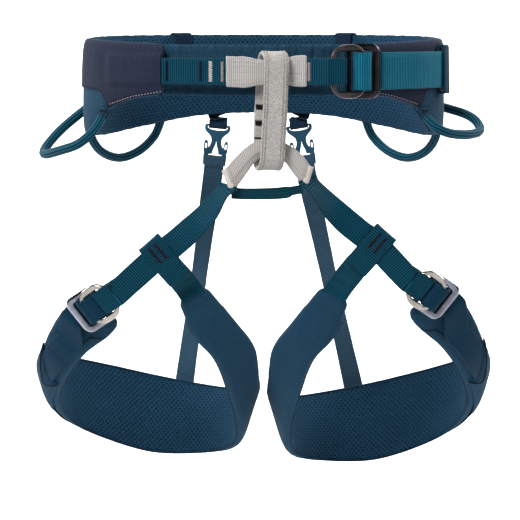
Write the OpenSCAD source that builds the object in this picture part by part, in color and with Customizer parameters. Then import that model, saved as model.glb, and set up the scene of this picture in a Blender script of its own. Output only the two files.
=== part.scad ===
// Sport climbing harness: padded waist belt, adjustable leg loops, textile tie-in points,
// belay loop, double-back buckles, gear loops and elastic rear straps with release clips.
// Origin: centre of the waist opening. +Z up, -Y is the wearer's front, millimetres.

/* [Waist belt] */
// Half width of the belt at the middle of its padding
waist_half_w = 146; // [138:1:150]
// Half depth of the belt at the middle of its padding
waist_half_d = 105; // [100:1:108]
// Thickness of the belt foam
foam_t = 7.2; // [6:0.2:7.2]
// Inset of the layers below the bound edges
edge_inset = 2; // [2:0.5:3]

/* [Webbing] */
// Width of the tie-in and leg webbing
webbing_w = 21; // [18:1:22]
// Width of the waist adjustment strap
waist_strap_w = 30; // [26:1:30]
// Thickness of the webbing
webbing_t = 1.6; // [1.2:0.1:1.6]

/* [Belay loop] */
// Width of the belay loop
belay_w = 21; // [16:1:21]
// Thickness of the belay loop
belay_t = 3.6; // [3:0.2:3.6]

/* [Gear loops] */
// Diameter of the gear loop tubes
gear_d = 8; // [6:0.5:8]

/* [Leg loops] */
// Thickness of the leg loop foam
leg_foam_t = 5.6; // [4:0.2:5.6]

/* [Hidden] */
$fn = 32;

// Colours
navy = [0.13, 0.14, 0.22];
blue = [0.03, 0.17, 0.28];
mesh_blue = [0.03, 0.13, 0.22];
teal = [0.01, 0.24, 0.30];
grey = [0.66, 0.65, 0.62];
foam_grey = [0.25, 0.25, 0.27];
black_metal = [0.03, 0.03, 0.04];
steel = [0.75, 0.74, 0.72];

// Gap between layers that lie on each other
gap = 0.3;

// ---------- vectors and curves ----------
function unit(v) = v / norm(v);
function mid(a, b) = (a + b) / 2;
// Catmull-Rom point between p1 and p2
function curve_point(p0, p1, p2, p3, t) =
  (2 * p1 + (p2 - p0) * t + (2 * p0 - 5 * p1 + 4 * p2 - p3) * t * t
    + (3 * p1 - p0 - 3 * p2 + p3) * t * t * t) / 2;
// Smooth curve through points of any dimension, with steps stretches between neighbours
function smooth(p, steps) = let (n = len(p) - 1) [
  for (i = [0:n - 1]) for (k = [0:steps - 1])
    curve_point(i == 0 ? 2 * p[0] - p[1] : p[i - 1], p[i], p[i + 1],
      i == n - 1 ? 2 * p[n] - p[n - 1] : p[i + 2], k / steps),
  p[n]];
function average(p) = [for (i = [0:2]) [for (q = p) q[i]] * [for (q = p) 1] / len(p)];
function tangent(p, i) = unit(p[min(i + 1, len(p) - 1)] - p[max(i - 1, 0)]);
function flip_x(p) = [-p[0], p[1], p[2]];

// Solid through rings of points, each ring counter-clockwise about the direction of travel;
// the inner and outer faces of a band are split along the same diagonals, so that layers nest
module skin(rings) {
  m = len(rings[0]);
  last = len(rings) - 1;
  centre = (last + 1) * m;
  polyhedron(
    points = concat([for (r = rings) each r], [average(rings[0]), average(rings[last])]),
    faces = concat(
      [for (j = [0:m - 1]) [centre, j, (j + 1) % m]],
      [for (i = [0:last - 1]) for (j = [0:m - 1])
        let (p = i * m + j, q = i * m + (j + 1) % m)
        each (j < m / 2 ? [[p, p + m, q + m], [p, q + m, q]] : [[p, p + m, q], [p + m, q + m, q]])],
      [for (j = [0:m - 1]) [centre + 1, last * m + (j + 1) % m, last * m + j]]));
}

// Band between two edge curves: a is the upper edge, and lo and hi are offsets along its outward normal
function band_rings(a, b, lo, hi, k) = let (c = [for (i = [0:len(a) - 1]) mid(a[i], b[i])]) [
  for (i = [0:len(a) - 1])
    let (n = unit(cross(tangent(c, i), a[i] - b[i])))
    concat([for (j = [0:k]) b[i] + (a[i] - b[i]) * j / k + n * lo],
      [for (j = [k:-1:0]) b[i] + (a[i] - b[i]) * j / k + n * hi])];
module band(a, b, lo, hi, k = 1) { skin(band_rings(a, b, lo, hi, k)); }

// Flat strap along a centre line, with across as the direction of its width at each point;
// the width is one number or a list of them
function width_at(width, i) = is_list(width) ? width[i] : width;
module strap(centre, across, width, thick) {
  edges = [for (i = [0:len(centre) - 1])
    let (t = tangent(centre, i), w = unit(across[i] - t * (across[i] * t)) * width_at(width, i) / 2)
    [centre[i] + w, centre[i] - w]];
  band([for (e = edges) e[0]], [for (e = edges) e[1]], -thick / 2, thick / 2);
}
function same(v, list) = [for (p = list) v];

// Round tube along a path that stays roughly square to ref
module tube(path, ref, r, sides) {
  skin([for (i = [0:len(path) - 1])
    let (t = tangent(path, i), n1 = unit(cross(ref, t)), n2 = cross(t, n1))
    [for (k = [0:sides - 1]) path[i] + r * (n1 * cos(360 * k / sides) + n2 * sin(360 * k / sides))]]);
}

// Places children with local x along u and local y along w
module placed(origin, u, w) {
  n = cross(u, w);
  multmatrix([[u[0], w[0], n[0], origin[0]], [u[1], w[1], n[1], origin[1]],
              [u[2], w[2], n[2], origin[2]], [0, 0, 0, 1]]) children();
}

module round_rect(x0, x1, y0, y1, r) {
  translate([x0 + r, y0]) square([x1 - x0 - 2 * r, y1 - y0]);
  translate([x0, y0 + r]) square([x1 - x0, y1 - y0 - 2 * r]);
  for (x = [x0 + r, x1 - r]) for (y = [y0 + r, y1 - r]) translate([x, y]) circle(r);
}

// ---------- waist belt surface ----------
// The belt leans in slightly towards its top edge
lean = 0.02;
// Point on the belt at an angle from the front (90 is the +X hip), a height and an outward offset
function waist_point(angle, z, off) =
  let (a = waist_half_w - lean * z, b = waist_half_d - lean * z,
       n = unit([sin(angle) / a, -cos(angle) / b, 0]))
  [a * sin(angle), -b * cos(angle), z] + n * off;
// Angle, top edge and bottom edge of the padding, from its front end to the middle of the back
half_profile = [[30, 36, -5], [45, 37, -8], [58, 38, -17], [72, 39, -37], [90, 40, -41],
  [112, 41, -43], [135, 41.5, -37], [158, 41.5, -29], [180, 41.5, -27]];
function mirror_station(s) = [360 - s[0], s[1], s[2]];
full_profile = concat(half_profile, [for (i = [len(half_profile) - 2:-1:0]) mirror_station(half_profile[i])]);
profile_steps = 4;
waist_profile = smooth(full_profile, profile_steps);

// One layer of the belt along stations of angle, top and bottom
module waist_layer(stations, lo, hi) {
  skin([for (s = stations) [waist_point(s[0], s[2], lo), waist_point(s[0], s[1], lo),
                            waist_point(s[0], s[1], hi), waist_point(s[0], s[2], hi)]]);
}
function inset(stations, top, bottom) = [for (s = stations) [s[0], s[1] - top, s[2] + bottom]];
function arc_stations(a0, a1, top, bottom, steps) =
  [for (i = [0:steps]) [a0 + (a1 - a0) * i / steps, top, bottom]];

// Offsets of the layers from the middle of the padding
lining_in = -6;
lining_t = 1.2;
foam_in = lining_in + lining_t + gap;
foam_out = foam_in + foam_t;
load_webbing_t = 1.4;
shell_in = foam_out + load_webbing_t + 2 * gap;
shell_out = shell_in + 1;
cover_t = 0.8;
// The left cover lies over the end of the tie-in webbing
left_cover_in = shell_out + webbing_t + 3 * gap;
right_cover_in = shell_out + gap + 0.1;
strap_under_in = right_cover_in + cover_t + gap;
strap_over_in = strap_under_in + webbing_t + gap;

module waist_lining() {
  color(mesh_blue) waist_layer(inset(waist_profile, edge_inset, edge_inset), lining_in, lining_in + lining_t);
}
module waist_foam() {
  color(foam_grey) waist_layer(inset(waist_profile, edge_inset, edge_inset), foam_in, foam_out);
}
module waist_load_webbing() {
  color(teal)
    waist_layer(arc_stations(34, 326, 26, 0, 56), foam_out + gap, foam_out + gap + load_webbing_t);
}
module waist_shell() {
  color(blue) waist_layer(inset(waist_profile, edge_inset, edge_inset), shell_in, shell_out);
}
module waist_edge_binding() {
  t = edge_inset - 0.2;
  color(blue) {
    waist_layer([for (s = waist_profile) [s[0], s[1], s[1] - t]], lining_in, shell_out);
    waist_layer([for (s = waist_profile) [s[0], s[2] + t, s[2]]], lining_in, shell_out);
  }
}

// Cover patch from its front edge to its rear edge: angle, top and bottom
cover_profile = [[33, 36, -4.5], [45, 37, -8], [58, 38, -17], [62, 38, -8], [68, 39, -3], [90, 40, -1.5]];
cover_profile_right = concat([[38, 36.4, -6]], [for (i = [1:5]) cover_profile[i]]);
module waist_cover(profile, in) {
  color(navy) waist_layer(inset(smooth(profile, 3), edge_inset, edge_inset), in, in + cover_t);
}
module waist_cover_left() {
  waist_cover([for (i = [len(cover_profile) - 1:-1:0]) mirror_station(cover_profile[i])], left_cover_in);
}
module waist_cover_right() { waist_cover(cover_profile_right, right_cover_in); }

// Padded guard across the front, behind the tie-in and the buckle
guard_half_w = 136.5;
guard_half_d = 95.5;
guard_t = 5;
module buckle_guard() {
  arc = [for (a = [-48:4:36]) [guard_half_w * sin(a), -guard_half_d * cos(a), 0]];
  color(blue)
    band([for (p = arc) p + [0, 0, 35.5]], [for (p = arc) p + [0, 0, -5.5]], -guard_t / 2, guard_t / 2);
}

// ---------- front webbing, tie-in points and belay loop ----------
front_z = 14.5;
sleeve_y = -114;
sleeve_x0 = -30;
sleeve_x1 = 34;
up = [0, 0, 1];
// Waist buckle: centre of its frame and its directions
waist_buckle_at = [71.5, -106, front_z];
waist_buckle_turn = 20;
waist_buckle_u = [cos(waist_buckle_turn), sin(waist_buckle_turn), 0];
waist_buckle_n = cross(waist_buckle_u, up);
function at_waist_buckle(u, n) = waist_buckle_at + waist_buckle_u * u + waist_buckle_n * n;

tie_in_off = shell_out + gap + 0.1 + webbing_t / 2;
tie_in_route = [waist_point(-58, front_z, tie_in_off), waist_point(-50, front_z, tie_in_off),
  waist_point(-42, front_z, tie_in_off), waist_point(-36, front_z, tie_in_off),
  waist_point(-32, front_z, tie_in_off),
  [-58, -104.5, front_z], [-42, -110.7, front_z], [-31, -114, front_z], [-20, -114, front_z],
  [5, -114, front_z], [25, -114, front_z], [34.8, -114.1, front_z],
  at_waist_buckle(-26, 5), at_waist_buckle(-21, 6.1), at_waist_buckle(-17, 6.15),
  at_waist_buckle(-14.9, 5.4), at_waist_buckle(-14.2, 3.5), at_waist_buckle(-14.9, 1.5),
  at_waist_buckle(-17, 0.85), at_waist_buckle(-21, 0.8), at_waist_buckle(-28, 1.4)];
// The webbing and its sleeve are gathered where the belay loop hangs on them
belay_x = 5.6;
function gather(x) = pow(cos(90 * min(1, abs(x - belay_x) / 24)), 2);
module tie_in_webbing() {
  route = smooth(tie_in_route, 3);
  color(teal) strap(route, same(up, route), [for (p = route) webbing_w - 6 * gather(p[0])], webbing_t);
}
sleeve_wall = 1.3;
sleeve_half = webbing_t / 2 + gap;
module sleeve_solid(x0, x1, extra, half) {
  x = [for (k = [0:16]) x0 + (x1 - x0) * k / 16];
  h = [for (v = x) (webbing_w + extra - 6 * gather(v)) / 2];
  band([for (k = [0:16]) [x[k], sleeve_y, front_z + h[k]]],
    [for (k = [0:16]) [x[k], sleeve_y, front_z - h[k]]], -half, half);
}
module tie_in_sleeve_upper() {
  color(grey) difference() {
    sleeve_solid(sleeve_x0, sleeve_x1, 3.6, sleeve_half + sleeve_wall);
    sleeve_solid(sleeve_x0 - 1, sleeve_x1 + 1, 0.6, sleeve_half);
  }
}

belay_top = 27.1;
belay_bottom = -60.5;
belay_r = 8;
belay_bulge = 9.5;
// The rear run of the loop lies a little to the side of the front run
belay_skew = 0.3;
module belay_outline(extra) {
  hull() {
    translate([0, belay_top - belay_r]) circle(belay_r + extra);
    translate([0, (belay_top + belay_bottom) / 2]) circle(belay_bulge + extra);
    translate([0, belay_bottom + belay_r]) circle(belay_r + extra);
  }
}
module belay_loop() {
  skew = [[1, -belay_skew, 0, belay_x - belay_w / 2], [0, 1, 0, sleeve_y], [0, 0, 1, 0], [0, 0, 0, 1]];
  color(grey) multmatrix(skew)
    rotate([90, 0, 90]) linear_extrude(belay_w) difference() {
      belay_outline(belay_t);
      belay_outline(0);
    }
}

// Lower tie-in point: an arch through the belay loop, from its left foot to its right foot
arch_outer = smooth([[-32, -112.5, -64], [-18.7, -113.5, -49.5], [-7, -114, -41], [5, -114, -39.5],
  [17, -114, -42], [29.9, -113.5, -51.1], [38, -112.5, -61.5]], 3);
arch_inner = smooth([[-24.8, -112.5, -82.3], [-13, -113.5, -66], [-6.5, -114, -57.5], [5, -114, -52],
  [16, -114, -57], [24, -113.5, -67.5], [33, -112.5, -78]], 3);
arch_core_t = 2.4;
arch_wall = 1.3;
arch_last = len(arch_outer) - 1;
// One layer of the arch, drawn in from both edges, reaching past both ends by extra
module arch_layer(draw_in, extra, half) {
  o = [for (i = [0:arch_last]) arch_outer[i] + unit(arch_inner[i] - arch_outer[i]) * draw_in];
  n = [for (i = [0:arch_last]) arch_inner[i] + unit(arch_outer[i] - arch_inner[i]) * draw_in];
  t0 = unit(mid(o[0], n[0]) - mid(o[1], n[1])) * extra;
  t1 = unit(mid(o[arch_last], n[arch_last]) - mid(o[arch_last - 1], n[arch_last - 1])) * extra;
  band(concat([o[0] + t0], rest(o), [o[arch_last] + t1]),
    concat([n[0] + t0], rest(n), [n[arch_last] + t1]), -half, half);
}
function rest(p) = [for (i = [1:len(p) - 2]) p[i]];
module tie_in_sleeve_lower() {
  color(grey) difference() {
    arch_layer(0, 0, arch_core_t / 2 + gap + arch_wall);
    arch_layer(1.6, 1, arch_core_t / 2 + gap);
  }
}
module tie_in_core_lower() { color(teal) arch_layer(1.9, -0.3, arch_core_t / 2); }
cross_route = [[-26, -106.5, -83], [-10, -107, -83.5], [10, -107, -83], [31, -106.5, -79.5]];
module leg_cross_strap() {
  route = smooth(cross_route, 3);
  color(teal) strap(route, same(up, route), 9, 2.4);
}

// ---------- buckles ----------
// Oval ring and rectangular frame of a double-back buckle. Local x runs along the strap,
// local y across it and z outwards; the frame tilts about the ring's free bar.
buckle_bar = 5.5;
ring_t = 3;
frame_t = 3;
function ring_reach(len) = buckle_pivot - len;
buckle_pivot = 11;
module buckle_ring(width, len) {
  w = width / 2 + 1 + buckle_bar;
  translate([0, 0, 2]) linear_extrude(ring_t) difference() {
    round_rect(ring_reach(len), buckle_pivot, -w, w, len * 0.42);
    round_rect(ring_reach(len) + buckle_bar, buckle_pivot - buckle_bar, -w + buckle_bar, w - buckle_bar, 3);
  }
}
module buckle_frame(width, reach) {
  w = width / 2 + 1 + buckle_bar;
  translate([0, 0, -frame_t / 2]) linear_extrude(frame_t) difference() {
    round_rect(-6, reach, -w - 0.5, w + 0.5, 6);
    round_rect(-2, reach - 6.5, -w + buckle_bar - 0.5, w - buckle_bar + 0.5, 2);
  }
}
// The strap runs below the frame, up through ring and frame, over the ring's free bar, down again
// through the frame and away under the frame's outer bar
function buckle_strap(reach) = [[reach + 7, -6.3], [14, -6.4], [9, -5.9], [5.5, -4.4], [4.1, -1], [3.9, 3.5],
  [5.2, 6.1], [8, 6.6], [11, 6.2], [13.2, 3.6], [14.2, -0.8], [17.2, -3.5],
  [reach - 2, -3.8], [reach + 7, -3.9]];

module waist_buckle_ring() {
  color(black_metal) placed(waist_buckle_at, waist_buckle_u, up) buckle_ring(waist_strap_w, 32);
}
module waist_buckle_frame() {
  color(black_metal) placed(waist_buckle_at, waist_buckle_u, up) buckle_frame(waist_strap_w, 23.5);
}
module waist_strap() {
  under = strap_under_in + webbing_t / 2;
  over = strap_over_in + webbing_t / 2;
  route = smooth(concat(
    [for (a = [84:-6.5:51.5]) waist_point(a, front_z, under)],
    [for (p = buckle_strap(23.5)) at_waist_buckle(p[0], p[1])],
    [for (a = [51.5:6.5:77.5]) waist_point(a, front_z, over)]), 3);
  color(teal) strap(route, same(up, route), waist_strap_w, webbing_t);
}
module waist_strap_keeper() {
  color(blue) difference() {
    waist_layer([for (a = [72:1.4:76.2]) [a, 36, -7]],
      right_cover_in + cover_t + gap, strap_over_in + webbing_t + gap + 1.2);
    waist_layer([for (a = [70.6:1.4:77.6]) [a, 32, -3]],
      right_cover_in + cover_t - 5, strap_over_in + webbing_t + gap);
  }
}

// ---------- gear loops ----------
gear_off = shell_out + gap + gear_d / 2;
// Routes of the loops from their front end to their rear end; the left ones have their x negative
gear_front_left = [waist_point(-58.5, -24, gear_off), [-140, -66, -36], [-152, -62, -46], [-168, -50, -52],
  [-181, -32, -56], [-184, -18, -54], [-179, -4, -46], [-170, 10, -36], waist_point(-103, -24, gear_off + 4),
  waist_point(-108, -18, gear_off)];
gear_front_right = [waist_point(58.5, -24, gear_off), [141, -66, -32], [152, -61, -37], [167, -48, -39],
  [178, -32, -38], [181, -18, -34], [177, -4, -28], [170, 10, -24], waist_point(103, -20, gear_off + 4),
  waist_point(108, -18, gear_off)];
gear_rear_left = [waist_point(-112.5, -24, gear_off), [-150, 50, -42], [-143, 64, -58], [-128, 81, -66],
  [-111, 94, -61], [-97, 103, -48], waist_point(-145, -32, gear_off + 3), waist_point(-147, -20, gear_off)];
gear_rear_right = [for (p = gear_rear_left) flip_x(p)];
module gear_loop(route, ref) { color(teal) tube(smooth(route, 4), ref, gear_d / 2, 8); }
module gear_loop_front_left() { gear_loop(gear_front_left, unit([0.45, 0.3, -1])); }
module gear_loop_front_right() { gear_loop(gear_front_right, unit([0.1, 0.2, 1])); }
module gear_loop_rear_left() { gear_loop(gear_rear_left, unit([1, -1.2, 0])); }
module gear_loop_rear_right() { gear_loop(gear_rear_right, unit([1, 1.2, 0])); }
// Sewn tabs above the ends of the gear loops: angle, top and bottom
gear_anchors = [[58.5, -17, -20.5], [108, -4, -13], [112.5, -9, -19], [147, -6, -15]];
module gear_loop_anchors() {
  color(blue) for (g = gear_anchors) for (side = [-1, 1])
    waist_layer(arc_stations(side * g[0] - 1.7, side * g[0] + 1.7, g[1], g[2], 2),
      shell_out + gap, shell_out + 4);
}
// Direction along the belt at an angle
function along_belt(angle) = unit([waist_half_w * cos(angle), waist_half_d * sin(angle), 0]);
// Webbing tabs folded over the top edge of the back
module tool_tabs() {
  o = shell_out + gap + 0.8;
  i = lining_in - gap - 0.8;
  fold = [[8, o], [25, o], [40.7, o], [42.5, o - 1.2], [43, (o + i) / 2],
    [42.5, i + 1.2], [40.7, i], [33, i]];
  color(teal) for (a = [150, 210]) {
    route = [for (p = fold) waist_point(a, p[0], p[1])];
    strap(route, same(along_belt(a), route), 15, 1.2);
  }
}

// ---------- rear straps and release clips ----------
// Clip frame: local x to the side, local y up the strap and z inwards to the wearer
clip_left_at = [-42, 107, -54];
clip_right_at = [-34, 107.5, -54];
clip_lean_left = 6;
clip_lean_right = 9;
elastic_w = 20;
elastic_t = 1.4;
module at_clip(at, lean) { placed(at, [-cos(lean), 0, sin(lean)], [sin(lean), 0, cos(lean)]) children(); }
module at_clip_left() { at_clip(clip_left_at, clip_lean_left) children(); }
module at_clip_right() { mirror([1, 0, 0]) at_clip(clip_right_at, clip_lean_right) children(); }
tab_w = 16;
// Webbing tab sewn on the back of the belt, folded through the bar of the male half
module rear_tab(angle, at, lean) {
  off = shell_out + gap + 0.75;
  x = [sin(lean), 0, cos(lean)];
  route = smooth([waist_point(angle, -6, off), waist_point(angle, -16, off), waist_point(angle, -26, off),
    at + x * 17.5 + [0, 2.8, 0], at + x * 14.1 + [0, 2.3, 0], at + x * 12.9, at + x * 14.1 + [0, -2.3, 0],
    at + x * 17.5 + [0, -2.1, 0], at + x * 23 + [0, -0.5, 0]], 3);
  across = smooth([for (i = [0:8]) i < 3 ? along_belt(angle) : [cos(lean), 0, -sin(lean)]], 3);
  color(blue) strap(route, across, tab_w, 1.2);
}
module rear_tab_left() { rear_tab(-164, clip_left_at, clip_lean_left); }
module rear_tab_right() { mirror([1, 0, 0]) rear_tab(-167, clip_right_at, clip_lean_right); }
clip_t = 3;
module clip_male() {
  color(blue) translate([0, 0, -clip_t / 2]) linear_extrude(clip_t) {
    difference() {
      round_rect(-11.5, 11.5, 9.5, 16, 2.5);
      translate([-9, 11.6]) square([18, 2.6]);
    }
    polygon([[-10, 10.5], [10, 10.5], [4.5, 4], [3.2, 0.4], [-3.2, 0.4], [-4.5, 4]]);
  }
}
// One flexible arm of the male half, with the pad that a finger squeezes
prong_shape = [[0.5, 0], [3, 0], [7.4, -1.6], [9.9, -3.6],
  [9.9, -7.6], [7.2, -9.4], [4.6, -9.4], [2.4, -4.5]];
module clip_prong(side) {
  color(blue) translate([0, 0, -clip_t / 2]) linear_extrude(clip_t)
    polygon([for (p = prong_shape) [side * p[0], p[1]]]);
}
// Hollow half that takes the arms; their pads show in the windows at its sides
module clip_female() {
  color(blue) difference() {
    translate([0, 0, -clip_t / 2 - 1.3]) linear_extrude(clip_t + 2.6) difference() {
      round_rect(-11.5, 11.5, -15.2, -1.4, 2);
      translate([-10.3, -13.6]) square([20.6, 2.3]);
    }
    translate([-10.3, -10.1, -clip_t / 2 - 0.3]) cube([20.6, 12, clip_t + 0.6]);
    for (x = [-12, 9]) translate([x, -8.4, -clip_t / 2 - 0.3]) cube([3, 5.6, clip_t + 0.6]);
  }
}
module rear_clip_male_left() { at_clip_left() clip_male(); }
module rear_clip_male_right() { at_clip_right() clip_male(); }
module rear_clip_female_left() { at_clip_left() clip_female(); }
module rear_clip_female_right() { at_clip_right() clip_female(); }
module clip_prong_left_inner() { at_clip_left() clip_prong(-1); }
module clip_prong_left_outer() { at_clip_left() clip_prong(1); }
module clip_prong_right_inner() { at_clip_right() clip_prong(-1); }
module clip_prong_right_outer() { at_clip_right() clip_prong(1); }

// ---------- leg loops ----------
// Upper and lower edge of a leg pad, from its inner front end round the back to its outer front end
pad_edges = [
  [[-48, -80, -160], [-70, -82, -173]],
  [[-22, -64, -194], [-57, -76, -203]],
  [[-8, -44, -216], [-40, -62, -225]],
  [[-5.5, -14, -243], [-29, -36, -256]],
  [[-6.5, 20, -259], [-22, -4, -289]],
  [[-17, 54, -268], [-26, 30, -314]],
  [[-50, 80, -268], [-54, 62, -326]],
  [[-97, 88, -260], [-100, 78, -328]],
  [[-141, 74, -248], [-145, 66, -312]],
  [[-174, 44, -237], [-170, 40, -293]],
  [[-186, 4, -232], [-176, 4, -271]],
  [[-183, -32, -216], [-167, -30, -246]],
  [[-174, -56, -196], [-150, -54, -222]],
  [[-163, -70, -181], [-131, -70, -199]],
  [[-155, -78, -170], [-122, -78, -186]]];
// The right pad hangs a little lower at the back and higher at its outer end
right_drop = [0, 1, 1, 3, 5, 7, 7, 7, 6, 3, 0, -3, -5, -7, -8];
pad_steps = 3;
function pad(edges) = [smooth([for (e = edges) e[0]], pad_steps), smooth([for (e = edges) e[1]], pad_steps)];
pad_left = pad(pad_edges);
pad_right = pad([for (i = [0:14]) [for (e = pad_edges[i]) e - up * right_drop[i]]]);
pad_last = len(pad_left[0]) - 1;
leg_lining_t = 1;
leg_webbing_t = 1.4;
leg_half = leg_foam_t / 2;
leg_webbing_in = leg_half + gap + 0.1;
leg_shell_in = leg_webbing_in + leg_webbing_t + gap + 0.1;
leg_shell_out = leg_shell_in + 0.9;
leg_strap_in = leg_shell_out + 3 * gap;
leg_tail_in = leg_strap_in + webbing_t + gap;
leg_pocket_in = leg_strap_in + webbing_t + gap + 0.3;
// Outward normal of a pad at a station
function pad_normal(pad, i) =
  let (k0 = max(i - 1, 0), k1 = min(i + 1, pad_last))
  unit(cross(mid(pad[0][k1], pad[1][k1]) - mid(pad[0][k0], pad[1][k0]), pad[0][i] - pad[1][i]));
// Point on a pad at a station, a share of the way from its upper to its lower edge, and an offset
function pad_point(pad, i, share, off) =
  pad[0][i] * (1 - share) + pad[1][i] * share + pad_normal(pad, i) * off;

// Part of a pad between two stations and two distances from its upper edge (from its lower edge
// where negative), at offsets lo to hi
function pad_share(pad, i, d) = let (w = norm(pad[1][i] - pad[0][i])) d < 0 ? 1 + d / w : d / w;
module pad_part(pad, first, last, d0, d1, lo, hi, k) {
  skin([for (i = [first:last])
    let (s0 = pad_share(pad, i, d0), s1 = pad_share(pad, i, d1))
    concat([for (j = [0:k]) pad_point(pad, i, s1 + (s0 - s1) * j / k, lo)],
      [for (j = [k:-1:0]) pad_point(pad, i, s1 + (s0 - s1) * j / k, hi)])]);
}
module pad_layer(pad, first, last, draw_in, lo, hi) {
  pad_part(pad, first, last, draw_in, -draw_in, lo, hi, 3);
}
// Webbing of a given width that runs along the middle of a pad
module pad_strap(pad, first, last, width, lo, hi) {
  skin([for (i = [first:last])
    let (h = width / 2 / norm(pad[1][i] - pad[0][i]))
    [pad_point(pad, i, 0.5 + h, lo), pad_point(pad, i, 0.5 - h, lo),
     pad_point(pad, i, 0.5 - h, hi), pad_point(pad, i, 0.5 + h, hi)]]);
}
// Narrow bindings along the upper and lower edge of a pad
module pad_binding(pad) {
  t = edge_inset - 0.2;
  lo = -leg_half - gap - leg_lining_t;
  color(blue) {
    pad_part(pad, 0, pad_last, 0, t, lo, leg_shell_out, 1);
    pad_part(pad, 0, pad_last, -t, -0.001, lo, leg_shell_out, 1);
  }
}
module leg_lining(pad) {
  color(mesh_blue) pad_layer(pad, 0, pad_last, edge_inset, -leg_half - gap - leg_lining_t, -leg_half - gap);
}
module leg_foam(pad) { color(foam_grey) pad_layer(pad, 0, pad_last, edge_inset, -leg_half, leg_half); }
module leg_load_webbing(pad) {
  color(teal) pad_strap(pad, 3, pad_last - 1, webbing_w, leg_webbing_in, leg_webbing_in + leg_webbing_t);
}
module leg_shell(pad) { color(blue) pad_layer(pad, 0, pad_last, edge_inset, leg_shell_in, leg_shell_out); }
module leg_pocket(pad) { color(blue) pad_layer(pad, 24, 34, edge_inset, leg_pocket_in, leg_pocket_in + 0.8); }
module leg_lining_left() { leg_lining(pad_left); }
module leg_lining_right() { mirror([1, 0, 0]) leg_lining(pad_right); }
module leg_foam_left() { leg_foam(pad_left); }
module leg_foam_right() { mirror([1, 0, 0]) leg_foam(pad_right); }
module leg_load_webbing_left() { leg_load_webbing(pad_left); }
module leg_load_webbing_right() { mirror([1, 0, 0]) leg_load_webbing(pad_right); }
module leg_shell_left() { leg_shell(pad_left); }
module leg_shell_right() { mirror([1, 0, 0]) leg_shell(pad_right); }
module leg_edge_binding_left() { pad_binding(pad_left); }
module leg_edge_binding_right() { mirror([1, 0, 0]) pad_binding(pad_right); }
module leg_pocket_left() { leg_pocket(pad_left); }
module leg_pocket_right() { mirror([1, 0, 0]) leg_pocket(pad_right); }

// Elastic strap from the bar of the clip down to the back of the leg pad, between stations i and i + 1
module rear_elastic(pad, i, part, at, lean) {
  x = [sin(lean), 0, cos(lean)];
  off = leg_shell_out + gap + elastic_t / 2 + 1.1;
  foot = pad_point(pad, i, 0.1, off) * (1 - part) + pad_point(pad, i + 1, 0.1, off) * part;
  end = pad_point(pad, i, 0.5, off) * (1 - part) + pad_point(pad, i + 1, 0.5, off) * part;
  top = at - x * 28 + [0, -0.6, 0];
  turn = [[20, 3.9], [15.2, 3.8], [13.3, 3.6], [12.4, 2.5],
    [12.4, -2.5], [13.3, -3.6], [15.2, -3.8], [20, -3.9]];
  route = smooth(concat([at - x * 28 + [0, 2.2, 0]], [for (q = turn) at - x * q[0] + [0, q[1], 0]], [top],
    [for (k = [1:3]) (top * (4 - k) + foot * k) / 4 + [0, 1.5, 0]], [foot, (foot + end) / 2, end]), 2);
  at_pad = unit(mid(pad[0][i + 1], pad[1][i + 1]) - mid(pad[0][i], pad[1][i]));
  across = smooth([for (k = [0:15]) k < 12 ? [-cos(lean), 0, sin(lean)] : at_pad], 2);
  color(blue) strap(route, across, elastic_w, elastic_t);
}
module rear_elastic_left() { rear_elastic(pad_left, 19, 0.5, clip_left_at, clip_lean_left); }
module rear_elastic_right() {
  mirror([1, 0, 0]) rear_elastic(pad_right, 20, 0.1, clip_right_at, clip_lean_right);
}

// ---------- leg straps and buckles, laid out for the left leg ----------
leg_buckle_u = unit([-0.68, 0.30, -0.67]);
leg_buckle_n = let (n = [-0.2, -0.93, -0.3]) unit(n - leg_buckle_u * (n * leg_buckle_u));
leg_buckle_w = cross(leg_buckle_n, leg_buckle_u);
leg_buckle_left = [-134.5, -95.5, -174];
leg_buckle_right = [-133, -96.5, -163];
function at_leg_buckle(at, u, n) = at + leg_buckle_u * u + leg_buckle_n * n;
// Risers: point on the centre line and direction across the webbing, turning flat on the way down
riser_left = [
  [[-30.5, -111.5, -78.5], [-4, 15, 12]],
  [[-33.5, -111.2, -82.5], [-5.3, 17, 10.5]],
  [[-44, -107.7, -97.3], [-12, 13, 11]],
  [[-60, -105, -113.5], [-14.3, 6.5, 13.4]],
  [[-74, -104, -125.7], [-15, 1, 14.6]],
  [[-84, -103.5, -133], [-13, 0, 15.5]],
  [[-101, -102.5, -146.5], [-13, 0, 15.5]]];
riser_right = [
  [[-37, -111.5, -74], [-5, 15, 12]],
  [[-41, -111.2, -78.8], [-2, 15, 16]],
  [[-51.5, -107.7, -91], [-8, 11, 15]],
  [[-64.5, -105, -104], [-12, 4, 16]],
  [[-77, -104, -114.5], [-13.5, 1, 16]],
  [[-90, -103.5, -124.8], [-13.5, 0, 16.2]],
  [[-106, -102.5, -138.2], [-13.5, 0, 16]]];
// Webbing from the lower tie-in point, looped round the near bar of the leg buckle
module leg_riser(riser, at) {
  loop = [[-30, 0.9], [-20, 0.85], [-14, 0.85], [-11.5, 0.9], [-10.4, 2.1], [-10.2, 3.5],
    [-10.4, 4.9], [-11.5, 6.1], [-14, 6.15], [-18, 5.9], [-23, 3.9], [-31, 3.1]];
  route = smooth(concat([for (r = riser) r[0]], [for (p = loop) at_leg_buckle(at, p[0], p[1])]), 3);
  across = smooth(concat([for (r = riser) r[1]], [for (p = loop) -leg_buckle_w * 20]), 3);
  color(teal) strap(route, across, webbing_w, webbing_t);
}
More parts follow.
